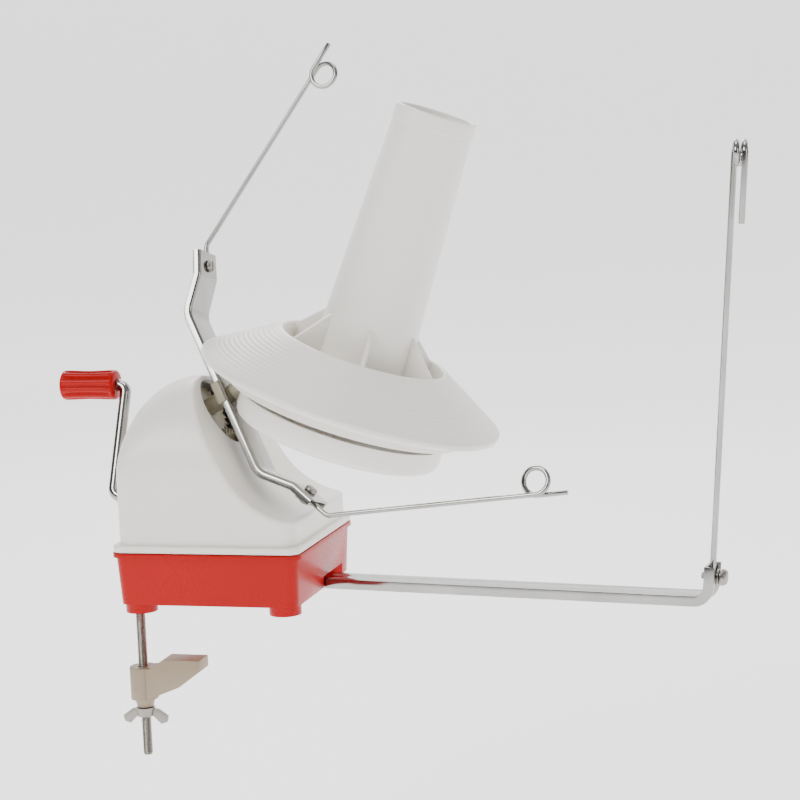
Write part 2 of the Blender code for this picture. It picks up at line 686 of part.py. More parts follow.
def make_fixed_shafts(steel, brass, bracket_x):
    add("flyer_post", cylinder("flyer_post", POST_RADIUS, POST_BACK, POST_FRONT, 28),
        steel, None, FLYER_FRAME)
    nut_top = HEAD_PLATE - PLATE - GAP
    nut = add("post_nut", prism("post_nut", hexagon(POST_NUT_RADIUS), nut_top - POST_NUT_THICKNESS,
                                 nut_top), steel, None, FLYER_FRAME)
    cut(nut, cylinder("post_nut_hole", POST_RADIUS + GAP, -THROUGH, 0, 24), None, FLYER_FRAME)
    inside = CRANK_ROD / 2 + RUNNING
    outside = inside + BUSH_WALL
    wall = -(BASE_LENGTH / 2 - COVER_SETBACK)
    head = outside + BUSH_HEAD
    cover_bush = [(inside, wall - GAP - BUSH_HEAD), (head, wall - GAP - BUSH_HEAD),
                  (head, wall - GAP), (outside, wall - GAP),
                  (outside, wall + COVER_WALL + BUSH_REACH), (inside, wall + COVER_WALL + BUSH_REACH)]
    add("crank_bush_outer", turned("crank_bush_outer", cover_bush, 28), brass, None, CRANK_FRAME)
    back = bracket_x - PLATE - BUSH_REACH
    front = bracket_x + GAP + BUSH_REACH
    inner_bush = [(inside, back), (outside, back), (outside, bracket_x + GAP),
                  (head, bracket_x + GAP), (head, front), (inside, front)]
    add("crank_bush_inner", turned("crank_bush_inner", inner_bush, 28), brass, None, CRANK_FRAME)


def make_crank(chrome, nylon, steel):
    corner_low = Vector((-CRANK_OUT, 0, 0))
    corner_high = Vector((-CRANK_OUT + CRANK_LEAN, 0, CRANK_ARM))
    path = rounded_path([Vector((SHAFT_END, 0, 0)), corner_low, corner_high,
                         Vector((-GRIP_FROM_X - ROD_IN_GRIP, 0, CRANK_ARM))], CRANK_BEND)
    wire("crank_rod", path, CRANK_ROD, chrome, None, ARM_OF_CRANK, resolution=3)
    small, large = cone_pair(FLYER_GEAR_TEETH, CRANK_GEAR_TEETH, math.pi / 2 - FLYER_TILT, False)
    # distance along the flyer axis from the hub back to where it meets the crank axis
    to_apex = (HUB.z - CRANK_HEIGHT) / math.cos(FLYER_TILT)
    apex_x = HUB.x - to_apex * math.sin(FLYER_TILT)
    far = (to_apex + FLYER_GEAR_FRONT) / math.cos(small)
    near = (to_apex + FLYER_GEAR_FRONT - GEAR_FACE) / math.cos(small)
    back = apex_x + far * math.cos(large) + GEAR_BACK
    front = apex_x + near * math.cos(large) - GEAR_EDGE
    ring = toothed_ring(CRANK_GEAR_TEETH, large, math.pi)
    gear = add("crank_gear", gear_body("crank_gear", ring, far, near, apex_x, front, back, 1),
               nylon, None, CRANK_FRAME)
    cut(gear, cylinder("crank_gear_bore", CRANK_ROD / 2 + GAP, front - PAST, back + PAST, 28),
        None, CRANK_FRAME)
    hub = CRANK_ROD / 2 + GEAR_HUB_WALL
    rim = far * math.sin(large) - GEAR_HUB_WALL
    recess = [(hub, back - GEAR_RECESS), (rim, back - GEAR_RECESS), (rim + 1 * MM, back + PAST),
              (hub, back + PAST)]
    cut(gear, turned("crank_gear_recess", recess, 32), None, CRANK_FRAME)
    bush_end = -(BASE_LENGTH / 2 - COVER_SETBACK) + COVER_WALL + BUSH_REACH
    collar = disc(CRANK_COLLAR_RADIUS, bush_end + GAP, bush_end + CRANK_COLLAR_LENGTH,
                  CRANK_ROD / 2 + GAP)
    add("crank_collar", turned("crank_collar", collar, 28), steel, None, CRANK_FRAME)
    return to_apex, small


def make_grip(red):
    """Fluted grip that turns on the crank rod."""
    def ring(x, radius, depth):
        points = []
        count = GRIP_FLUTES * 6
        for i in range(count):
            angle = math.tau * i / count
            reach = radius - depth * (0.5 - 0.5 * math.cos(GRIP_FLUTES * angle))
            points.append((x, reach * math.cos(angle), reach * math.sin(angle)))
        return points

    rings = []
    for share, scale, flute in GRIP_STATIONS:
        rings.append(ring(-GRIP_LENGTH * share, GRIP_RADIUS * scale, GRIP_FLUTE_DEPTH * flute))
    place = ARM_OF_CRANK @ shift(-GRIP_FROM_X, 0, CRANK_ARM)
    grip = add("handle_grip", loft("handle_grip", rings), red, None, place)
    bore = cylinder("grip_bore", CRANK_ROD / 2 + RUNNING, GRIP_END_WALL - GRIP_LENGTH, PAST, 28)
    cut(grip, bore, None, place @ Matrix.Rotation(math.pi / 2, 4, "Y"))


# ---------------------------------------------------------------- flyer

def make_flyer(chrome, nylon, to_apex, gear_angle):
    turned_frame = FLYER_FRAME @ Matrix.Rotation(FLYER_REST_TURN, 4, "Z")
    flyer = frame("flyer_axis", FLYER_FRAME)
    bar_frame = frame("flyer_bar_frame", turned_frame)
    arm = [Vector((HALF_BAR, 0)), SECOND_BEND, BAR_END]
    front = rounded_path([Vector((-p.x, p.y)) for p in reversed(arm)] + arm, FLYER_BEND)
    bar = channel("flyer_bar", front, WEB_WIDTH, FLYER_DEPTH, FLYER_SHEET, chrome, bar_frame)
    half_block = HUB_BLOCK / 2 + GAP
    window = [(-half_block, -FLYER_SHEET), (half_block, -FLYER_SHEET),
              (half_block, -FLYER_DEPTH * 2), (-half_block, -FLYER_DEPTH * 2)]
    cut(bar, side_prism("flange_window", window, WEB_WIDTH), bar_frame)
    sleeve_inner = POST_RADIUS + RUNNING
    sleeve_outer = sleeve_inner + SLEEVE_WALL
    cut(bar, cylinder("bar_hole", sleeve_outer + GAP, -FLYER_DEPTH, FLYER_DEPTH, 28), bar_frame)

    block = prism("flyer_hub_block", rectangle(HUB_BLOCK / 2, BLOCK_HALF_WIDTH),
                  -FLYER_DEPTH - BLOCK_PROUD, -FLYER_SHEET - GAP)
    block = add("flyer_hub_block", block, nylon, bar_frame)
    cut(block, cylinder("block_hole", sleeve_outer + GAP, -THROUGH, THROUGH, 28), bar_frame)
    gear_back = FLYER_GEAR_FRONT - GEAR_FACE
    sleeve = disc(sleeve_outer, gear_back, PINION_FRONT + GEAR_EDGE, sleeve_inner)
    add("flyer_sleeve", turned("flyer_sleeve", sleeve, 28), nylon, flyer)

    half_pitch = math.pi / FLYER_GEAR_TEETH
    ring = toothed_ring(FLYER_GEAR_TEETH, gear_angle, half_pitch)
    far = (to_apex + FLYER_GEAR_FRONT) / math.cos(gear_angle)
    near = (to_apex + gear_back) / math.cos(gear_angle)
    gear = gear_body("flyer_gear", ring, far, near, -to_apex, gear_back - GEAR_EDGE,
                     FLYER_GEAR_FRONT + GEAR_EDGE, 1)
    gear = add("flyer_gear", gear, nylon, flyer)
    cut(gear, cylinder("flyer_gear_bore", sleeve_outer + GAP, -THROUGH, 0, 28), flyer)

    ring = toothed_ring(PINION_TEETH, PINION_ANGLE, math.pi)
    pinion = gear_body("cone_pinion", ring, RING_FAR, RING_NEAR, HUB_TO_MEETING,
                       PINION_FRONT - PINION_FACE - GEAR_EDGE, PINION_FRONT + GEAR_EDGE, -1)
    pinion = add("cone_pinion", pinion, nylon, flyer)
    cut(pinion, cylinder("pinion_bore", sleeve_outer + GAP, 0, THROUGH, 28), flyer)

    for side, sign in (("lower", 1), ("upper", -1)):
        make_flyer_wire(side, sign, chrome, bar_frame)


def make_flyer_wire(side, sign, steel, bar_frame):
    """Clamped wire with an eye near its tip, its screw and its nut."""
    along = (BAR_END - SECOND_BEND).normalized()
    behind = Vector((along.y, -along.x))
    sunk = FLYER_SHEET + GAP + FLYER_WIRE / 2
    offset_y = -(CLAMP_SCREW_RADIUS + GAP + FLYER_WIRE / 2)
    start = SECOND_BEND + along * WIRE_FROM_BEND + behind * sunk
    corner = BAR_END + along * WIRE_STUB[side] + behind * sunk
    splay = WIRE_SPLAY[side]
    heading = Vector((math.sin(splay), math.cos(splay)))
    inward = Vector((-heading.y, heading.x))
    touch = corner + heading * WIRE_REACH[side]
    centre = touch + inward * EYE_RADIUS
    path = rounded_path([Vector((p.x, offset_y, p.y)) for p in (start, corner, touch)], WIRE_BEND)
    turn_steps = 20
    for i in range(1, turn_steps + 1):
        angle = math.tau * i / turn_steps
        spot = centre - inward * EYE_RADIUS * math.cos(angle) + heading * EYE_RADIUS * math.sin(angle)
        path.append(Vector((spot.x, offset_y + EYE_PITCH * i / turn_steps, spot.y)))
    tip = touch + heading * WIRE_TIP
    path.append(Vector((tip.x, offset_y + EYE_PITCH, tip.y)))
    mirrored = [Vector((p.x * sign, p.y * sign, p.z)) for p in path]
    wire(f"flyer_wire_{side}", mirrored, FLYER_WIRE, steel, bar_frame)

    seat = SECOND_BEND + along * (BAR_END - SECOND_BEND).length * CLAMP_SCREW_SEAT
    tilt = math.atan2(along.y, along.x)
    turn = Matrix.Rotation(math.pi if sign < 0 else 0, 4, "Z")
    place = turn @ shift(seat.x, 0, seat.y) @ Matrix.Rotation(-tilt, 4, "Y")
    flip = Matrix.Rotation(math.pi, 4, "X")
    bar = bpy.data.objects["flyer_bar"]
    cut(bar, cylinder(f"{side}_screw_hole", CLAMP_SCREW_RADIUS + GAP, -FLYER_DEPTH, PAST, 20),
        bar_frame, place)
    depth = FLYER_SHEET + FLYER_WIRE + 2 * GAP
    slotted_screw(f"flyer_screw_{side}", CLAMP_HEAD_RADIUS, CLAMP_HEAD_HEIGHT, CLAMP_SCREW_RADIUS,
                  depth + CLAMP_SCREW_END, steel, place @ shift(z=GAP) @ flip, bar_frame)
    plate = prism(f"{side}_plate", rectangle(CLAMP_PLATE.x, CLAMP_PLATE.y),
                  -depth - CLAMP_PLATE_THICKNESS, -depth)
    plate = add(f"flyer_clamp_plate_{side}", plate, steel, bar_frame, place)
    cut(plate, cylinder(f"{side}_plate_hole", CLAMP_SCREW_RADIUS + GAP, -THROUGH, 0, 20),
        bar_frame, place)


# ---------------------------------------------------------------- cone and pan

def make_cone(look):
    spindle = frame("spindle_axis", SPINDLE_FRAME)
    well_floor = FLANGE_TOP - WELL_DEPTH
    hub_bottom = RIM_HEIGHT - CONE_HUB_BELOW_RIM
    slope = (TUBE_FOOT_RADIUS - TUBE_TOP_RADIUS) / (TUBE_TOP - FLANGE_TOP)
    collar_foot = TUBE_TOP - COLLAR_HEIGHT

    def tube_radius(height):
        return TUBE_TOP_RADIUS + (TUBE_TOP - height) * slope

    foot = tube_radius(well_floor)
    bore = SPINDLE_RADIUS + RUNNING
    under = well_floor - WELL_FLOOR
    band = RIM_RADIUS - RIM_BAND
    mouth = FLANGE_TOP_RADIUS - FLANGE_WALL
    profile = [
        (bore, hub_bottom), (CONE_HUB_RADIUS, hub_bottom), (CONE_HUB_RADIUS, under),
        (mouth, under), (FLANGE_TOP_RADIUS - 0.5 * MM, FLANGE_TOP - FLANGE_WALL * 2),
        (band, RIM_HEIGHT - 0.4 * MM), (band, RIM_HEIGHT - RIM_THICKNESS),
        (RIM_RADIUS - 0.8 * MM, RIM_HEIGHT - RIM_THICKNESS),
        (RIM_RADIUS, RIM_HEIGHT - RIM_THICKNESS + 1 * MM),
        (RIM_RADIUS, RIM_HEIGHT), (RIM_RADIUS - 1.2 * MM, RIM_HEIGHT + 1.2 * MM),
        (FLANGE_TOP_RADIUS + 0.8 * MM, FLANGE_TOP - 0.2 * MM), (FLANGE_TOP_RADIUS, FLANGE_TOP),
        (FLANGE_TOP_RADIUS - 1 * MM, FLANGE_TOP - 0.4 * MM),
        (mouth, well_floor), (foot, well_floor), (tube_radius(collar_foot), collar_foot),
        (tube_radius(collar_foot) + COLLAR_LIFT, collar_foot + 0.6 * MM),
        (TUBE_TOP_RADIUS + COLLAR_LIFT, TUBE_TOP - 0.6 * MM), (TUBE_TOP_RADIUS - 0.2 * MM, TUBE_TOP),
        (TUBE_TOP_RADIUS - TUBE_WALL, TUBE_TOP), (foot - TUBE_WALL, well_floor + 0.5 * MM),
        (bore, well_floor + 0.5 * MM),
    ]
    cone = add("cone", turned("cone", profile, 48), look, spindle)
    for i in range(GUSSETS):
        inner = foot - 1 * MM
        outer = mouth + 0.8 * MM
        rib = [(inner, well_floor - 0.5 * MM), (outer, well_floor - 0.5 * MM),
               (outer, FLANGE_TOP - 0.6 * MM),
               (tube_radius(FLANGE_TOP + GUSSET_HEIGHT) - 0.8 * MM, FLANGE_TOP + GUSSET_HEIGHT)]
        turn = Matrix.Rotation(GUSSET_TURN + math.tau * i / GUSSETS, 4, "Z")
        join(cone, side_prism(f"gusset_{i}", rib, GUSSET_THICKNESS / 2), spindle, turn)

    # internal ring gear on the underside of the flange
    half_pitch = math.pi / RING_TEETH
    ring = toothed_ring(RING_TEETH, RING_ANGLE, math.pi + half_pitch, internal=True)
    low = -RING_FAR * math.cos(RING_ANGLE) - GEAR_EDGE
    under_slope = (RIM_HEIGHT - FLANGE_TOP + FLANGE_WALL * 2) / (band - FLANGE_TOP_RADIUS)
    seat = FLANGE_TOP - FLANGE_WALL * 2 + (RING_OUTSIDE - FLANGE_TOP_RADIUS) * under_slope - 3 * GAP
    body = disc(RING_OUTSIDE, low, seat, RING_OUTSIDE - RING_WIDTH)
    gear = add("cone_ring_gear", turned("cone_ring_gear", body, 48), look, spindle)
    teeth = gear_body("ring_teeth_hollow", ring, RING_FAR + PINION_FACE / 2,
                      RING_NEAR - PINION_FACE / 2, 0, low - PINION_FACE, seat + PINION_FACE, -1)
    cut(gear, teeth, spindle)


def make_pan(look, steel):
    wall = PAN_WALL
    rounding = []
    for i in range(5):
        angle = math.radians(90 * i / 4)
        rounding.append((PAN_RADIUS - PAN_ROUND + PAN_ROUND * math.sin(angle),
                         PAN_BOTTOM + PAN_ROUND - PAN_ROUND * math.cos(angle)))
    boss_top = PAN_BOTTOM + PAN_BOSS_HEIGHT
    profile = [(0, PAN_BOTTOM)] + rounding + [
        (PAN_RADIUS, PAN_RIM), (PAN_RADIUS - wall, PAN_RIM),
        (PAN_RADIUS - wall, PAN_BOTTOM + PAN_ROUND), (PAN_RADIUS - PAN_ROUND, PAN_BOTTOM + wall),
        (PAN_BOSS_RADIUS, PAN_BOTTOM + wall), (PAN_BOSS_RADIUS, boss_top), (0, boss_top)]
    pan = add("pan", turned("pan", profile, 48), look, None, SPINDLE_FRAME)

    # slanting block that holds the front end of the post
    block_start = PINION_FRONT + POST_RADIUS * 1.2
    block_end = POST_FRONT + POST_BLOCK_END
    block_top = POST_RADIUS + POST_BLOCK_OVER
    inside = PAN_BOTTOM + wall * 0.5
    spindle_inverse = SPINDLE_FRAME.inverted()

    def local(along_down, along_axis):
        point = spindle_inverse @ (FLYER_FRAME @ Vector((along_down, 0, along_axis)))
        return Vector((point.x, point.z))

    def to_floor(start, heading):
        return start + heading * ((inside - start.y) / heading.y)

    heading = (local(PAST, 0) - local(0, 0)).normalized()
    near_low = to_floor(local(0, block_start), heading)
    far_low = to_floor(local(0, block_end), heading)
    outline = [near_low, far_low, local(-block_top, block_end), local(-block_top, block_start)]
    block = side_prism("post_block", [(p.x, p.y) for p in outline], POST_BLOCK_HALF_WIDTH)
    join(pan, block, None, SPINDLE_FRAME)
    cut(pan, cylinder("post_socket", POST_RADIUS + GAP, 0, POST_FRONT + GAP, 28), None, FLYER_FRAME)

    # slot in the wall where the pinion enters
    cut(pan, cylinder("pinion_slot", PINION_PASS, 0, PINION_FRONT + PAST, 32), None, FLYER_FRAME)
    pin_top = FLANGE_TOP - WELL_DEPTH + PIN_ABOVE_WELL
    pin_low = PAN_BOTTOM + PAN_ROUND
    cut(pan, cylinder("spindle_socket", SPINDLE_RADIUS + GAP, pin_low - GAP, boss_top + PAST, 28),
        None, SPINDLE_FRAME)
    groove = SPINDLE_RADIUS - PIN_GROOVE
    clip_low = pin_top - PIN_GROOVE * 3.5
    clip_high = clip_low + CLIP_THICKNESS
    pin = [(0, pin_low), (SPINDLE_RADIUS, pin_low), (SPINDLE_RADIUS, clip_low - GAP / 2),
           (groove, clip_low - GAP / 2), (groove, clip_high + GAP / 2),
           (SPINDLE_RADIUS, clip_high + GAP / 2), (SPINDLE_RADIUS, pin_top - PIN_GROOVE),
           (groove, pin_top), (0, pin_top)]
    add("spindle_pin", turned("spindle_pin", pin, 28), steel, None, SPINDLE_FRAME)
    clip = disc(CLIP_RADIUS, clip_low, clip_high, groove + GAP)
    add("spindle_clip", turned("spindle_clip", clip, 28), steel, None, SPINDLE_FRAME)


# ---------------------------------------------------------------- yarn guide

def make_guide(steel):
    arm_frame = frame("guide_arm_pivot", ARM_FRAME)
    lean = math.pi / 2 - GUIDE_LEAN
    heading = Vector((math.cos(lean), math.sin(lean)))
    inner_end = -ARM_WIDTH / 2
    corner = Vector((ARM_REACH, ARM_TOP))
    leg_top = corner + heading * ((ARM_LEG_TOP - ARM_TOP) / heading.y)
    path = rounded_path([Vector((inner_end, ARM_TOP)), corner, leg_top], ARM_BEND)
    arm = channel("guide_arm", path, ARM_WIDTH, ARM_DEPTH, ARM_SHEET, steel, arm_frame)
    cut(arm, cylinder("arm_pivot_hole", GUIDE_SCREW_RADIUS + GAP, 0, ARM_TOP + PAST, 20), arm_frame)

    # the wire stands in the channel of the upturned end
    outward = Vector((heading.y, -heading.x))
    stand = corner + heading * WIRE_ABOVE_CORNER + outward * (ARM_SHEET + GAP + GUIDE_WIRE / 2)
    foot = stand + heading * ((GUIDE_FOOT - stand.y) / heading.y)
    aside = (GUIDE_SCREW_RADIUS + GAP + GUIDE_WIRE / 2) / 2
    turns = Matrix.Rotation(GUIDE_LEAN, 4, "Y") @ Matrix.Rotation(-ARM_YAW, 4, "Z")
    wire_frame = frame("guide_wire_axis", ARM_FRAME @ shift(foot.x, -aside, foot.y) @ turns)
    height = (GUIDE_HEIGHT - foot.y) / math.cos(GUIDE_LEAN)
    points = [Vector((0, 0, 0)), Vector((0, 0, height))]
    steps = round(COIL_TURNS * 16)
    for i in range(1, steps + 1):
        angle = math.tau * COIL_TURNS * i / steps
        points.append(Vector((COIL_PITCH * angle / math.tau, COIL_RADIUS * (math.cos(angle) - 1),
                              height + COIL_RADIUS * math.sin(angle))))
    points.append(points[-1] - Vector((0, 0, TAIL)))
    wire("guide_wire", points, GUIDE_WIRE, steel, wire_frame, resolution=3)

    # clamp screw through the upturned end, its head outside
    screw_spot = corner + heading * GUIDE_SCREW_ABOVE_CORNER
    seat = screw_spot + outward * (ARM_SHEET + GUIDE_WIRE + 2 * GAP)
    turn = Matrix.Rotation(math.pi / 2 + GUIDE_LEAN, 4, "Y")
    hole_place = shift(screw_spot.x, aside, screw_spot.y) @ turn
    screw_hole = cylinder("guide_screw_hole", GUIDE_SCREW_RADIUS + GAP, -ARM_DEPTH, ARM_DEPTH, 20)
    cut(arm, screw_hole, arm_frame, hole_place)
    washer_place = shift(seat.x, aside, seat.y) @ turn
    washer = disc(WASHER_RADIUS, 0, WASHER_THICKNESS, GUIDE_SCREW_RADIUS + GAP)
    add("guide_washer", turned("guide_washer", washer, 24), steel, arm_frame, washer_place)
    flip = Matrix.Rotation(math.pi, 4, "X")
    slotted_screw("guide_screw", *GUIDE_SCREW_HEAD, GUIDE_SCREW_RADIUS, GUIDE_SCREW_LENGTH, steel,
                  washer_place @ shift(z=WASHER_THICKNESS + GAP) @ flip, arm_frame)

    pivot_place = Matrix.Translation(ARM_PIVOT) @ shift(z=ARM_TOP - ARM_SHEET - GAP)
    slotted_screw("arm_pivot_screw", *PIVOT_SCREW_HEAD, GUIDE_SCREW_RADIUS, PIVOT_SCREW_LENGTH,
                  steel, pivot_place)


# ---------------------------------------------------------------- table clamp

def make_clamp(steel, beige):
    place = Matrix.Translation(CLAMP_AT)
    nut_low = FLOOR_TOP + GAP
    nut_high = nut_low + NUT_THICKNESS
    rod_top = nut_high + CLAMP_ROD * 0.4
    chamfer = CLAMP_ROD * 0.1
    rod = [(0, CLAMP_ROD_END), (CLAMP_ROD / 2 - chamfer, CLAMP_ROD_END),
           (CLAMP_ROD / 2, CLAMP_ROD_END + chamfer), (CLAMP_ROD / 2, rod_top), (0, rod_top)]
    add("clamp_rod", turned("clamp_rod", rod, 20), steel, None, place)
    nut = add("clamp_rod_nut", prism("clamp_rod_nut", hexagon(NUT_RADIUS), nut_low, nut_high),
              steel, None, place)
    cut(nut, cylinder("clamp_nut_hole", CLAMP_ROD / 2 + GAP, 0, THROUGH, 20), None, place)

    hub_end = JAW_HUB_RADIUS - 1.2 * MM
    boss = [(0, JAW_HUB_BOTTOM), (hub_end, JAW_HUB_BOTTOM), (JAW_HUB_RADIUS, JAW_BOSS_BOTTOM),
            (JAW_BOSS_RADIUS, JAW_BOSS_BOTTOM), (JAW_BOSS_RADIUS, JAW_BOSS_TOP), (0, JAW_BOSS_TOP)]
    jaw = add("clamp_jaw", turned("clamp_jaw", boss, 32), beige, None, place)
    root = JAW_BOSS_RADIUS * 0.5
    side = [(root, JAW_BOSS_TOP), (JAW_BOSS_RADIUS * 0.8, JAW_BOSS_TOP), (JAW_PAD_FROM, JAW_PAD_TOP),
            (JAW_REACH, JAW_PAD_TOP), (JAW_REACH, JAW_PAD_TOP - JAW_TIP_DEPTH),
            (JAW_HEEL.x, JAW_PAD_TOP - JAW_HEEL.y), (root, JAW_BOSS_BOTTOM + 0.5 * MM)]
    join(jaw, side_prism("jaw_arm", side, JAW_WIDTH / 2), None, place)
    cut(jaw, cylinder("jaw_bore", CLAMP_ROD / 2 + RUNNING, -THROUGH, 0, 20), None, place)

    top = JAW_HUB_BOTTOM - GAP
    bottom = top - WING_NUT_HEIGHT
    bore = CLAMP_ROD / 2 + RUNNING
    body = [(bore, bottom), (WING_NUT_RADIUS - 0.8 * MM, bottom), (WING_NUT_RADIUS, top), (bore, top)]
    wing_nut = add("wing_nut", turned("wing_nut", body, 24), steel, None, place)
    half = NUT_SPAN / 2
    for i, sign in enumerate((-1, 1)):
        wing = [(WING_ROOT, top - 0.8 * MM), (half - WING_NUT_RADIUS, top - 1 * MM), (half, bottom),
                (half - 0.6 * MM, top - WING_DROOP * 0.87), (half - WING_ROOT, top - WING_DROOP),
                (WING_ROOT, bottom + 0.5 * MM)]
        outline = [(sign * x, z) for x, z in wing]
        join(wing_nut, side_prism(f"wing_{i}", outline, WING_HALF_THICKNESS), None, place)


def make_screws(steel, bracket_x):
    for i, (x, y) in enumerate(boss_places()):
        slotted_screw(f"cover_screw_{i + 1}", SCREW_HEAD_RADIUS, SCREW_HEAD_HEIGHT, SCREW_RADIUS,
                      COVER_SCREW_LENGTH, steel, shift(x, y, FLOOR_TOP - FLOOR_THICKNESS - GAP))
    base = bpy.data.objects["base"]
    for i, side in enumerate((-1, 1)):
        spot = bracket_screw_place(bracket_x, side)
        head = spot @ shift(z=FLOOR_TOP + PLATE + 2 * GAP) @ Matrix.Rotation(math.pi, 4, "X")
        slotted_screw(f"bracket_screw_{i + 1}", SCREW_HEAD_RADIUS, SCREW_HEAD_HEIGHT, SCREW_RADIUS,
                      BRACKET_SCREW_LENGTH, steel, head)
        hole = cylinder(f"base_bracket_hole_{i}", SCREW_RADIUS + GAP,
                        FLOOR_TOP - FLOOR_THICKNESS - PAST, FLOOR_TOP + PAST, 16)
        cut(base, hole, None, spot)


def main():
    clear_scene()
    red = material("red_plastic", (0.62, 0.03, 0.02), 0.3)
    white = material("white_plastic", (0.82, 0.79, 0.74), 0.35)
    chrome = material("chrome_plate", (0.75, 0.75, 0.76), 0.15, 1.0)
    steel = material("zinc_steel", (0.55, 0.55, 0.54), 0.35, 1.0)
    brass = material("brass", (0.75, 0.55, 0.25), 0.3, 1.0)
    nylon = material("beige_nylon", (0.6, 0.5, 0.35), 0.5)
    beige = material("beige_plastic", (0.6, 0.52, 0.42), 0.5)

    make_base(red)
    make_cover(white)
    bracket_x = make_bracket(steel)
    make_fixed_shafts(steel, brass, bracket_x)
    to_apex, gear_angle = make_crank(chrome, nylon, steel)
    make_grip(red)
    make_flyer(chrome, nylon, to_apex, gear_angle)
    make_cone(white)
    make_pan(white, steel)
    make_guide(chrome)
    make_clamp(steel, beige)
    make_screws(steel, bracket_x)


main()
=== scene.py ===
"""Looks of a hand-cranked ball winder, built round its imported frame."""

import json
import logging
import math
from dataclasses import dataclass, field
from enum import Enum
from typing import Iterable, Sequence

import bmesh
import bpy
from mathutils import Matrix, Vector


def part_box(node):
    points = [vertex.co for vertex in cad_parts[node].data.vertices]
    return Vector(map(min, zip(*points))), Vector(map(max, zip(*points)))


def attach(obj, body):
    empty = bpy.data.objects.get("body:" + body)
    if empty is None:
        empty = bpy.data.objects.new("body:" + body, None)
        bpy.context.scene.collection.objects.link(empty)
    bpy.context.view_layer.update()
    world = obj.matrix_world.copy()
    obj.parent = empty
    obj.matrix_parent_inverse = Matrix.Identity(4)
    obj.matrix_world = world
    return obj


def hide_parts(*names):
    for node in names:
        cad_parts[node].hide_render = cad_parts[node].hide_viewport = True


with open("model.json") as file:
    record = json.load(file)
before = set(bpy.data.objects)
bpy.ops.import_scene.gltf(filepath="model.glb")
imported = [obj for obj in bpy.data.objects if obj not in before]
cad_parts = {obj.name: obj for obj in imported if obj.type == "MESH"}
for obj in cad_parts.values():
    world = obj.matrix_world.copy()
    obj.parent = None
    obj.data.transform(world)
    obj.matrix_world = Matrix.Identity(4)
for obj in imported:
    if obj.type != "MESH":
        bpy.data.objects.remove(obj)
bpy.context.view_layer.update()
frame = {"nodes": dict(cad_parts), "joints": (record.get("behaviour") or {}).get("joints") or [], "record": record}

MM = 0.001
MERGE = 1e-6  # points closer than this become one
FINE_MERGE = 1e-7
WIRE_END_ROUND = 0.3  # share of a wire's radius
log = logging.getLogger("ball_winder")


class Slot(Enum):
    """Material slots of the record."""

    RED = "red_plastic"
    WHITE = "white_plastic"
    BEIGE = "beige_plastic"
    NYLON = "beige_nylon"
    CHROME = "chrome_plate"
    STEEL = "zinc_steel"
    BRASS = "brass"


class Way(Enum):
    """The ways two solids are combined."""

    CUT = "DIFFERENCE"
    JOIN = "UNION"


# ---------------------------------------------------------------- finishes


class NodeTree:
    """A short way to write a node tree."""

    def __init__(self, tree: bpy.types.NodeTree) -> None:
        """Keeps the tree that is written to.

        Args:
            tree: a shader or geometry node tree.
        """
        self.tree = tree

    def node(self, kind: str, *inputs: object, **settings: object) -> bpy.types.Node:
        """Adds a node, and fills its inputs in order.

        Args:
            kind: the node's type name.
            inputs: sockets to link or constants, None to leave an input alone.
            settings: properties of the node.

        Returns:
            The new node.
        """
        made = self.tree.nodes.new(kind)
        for name, value in settings.items():
            setattr(made, name, value)
        for socket, value in zip(made.inputs, inputs):
            self.fill(socket, value)
        return made

    def fill(self, socket: bpy.types.NodeSocket, value: object) -> None:
        """Links a socket to another, or sets its constant.

        Args:
            socket: the input.
            value: an output socket, a constant, or None.
        """
        if isinstance(value, bpy.types.NodeSocket):
            self.tree.links.new(value, socket)
        elif value is not None:
            socket.default_value = value

    def math(self, operation: str, *values: object) -> bpy.types.NodeSocket:
        """Adds a math node.

        Args:
            operation: the node's operation.
            values: sockets or numbers.

        Returns:
            The result's socket.
        """
        kind = "ShaderNodeMath"
        return self.node(kind, *values, operation=operation).outputs[0]


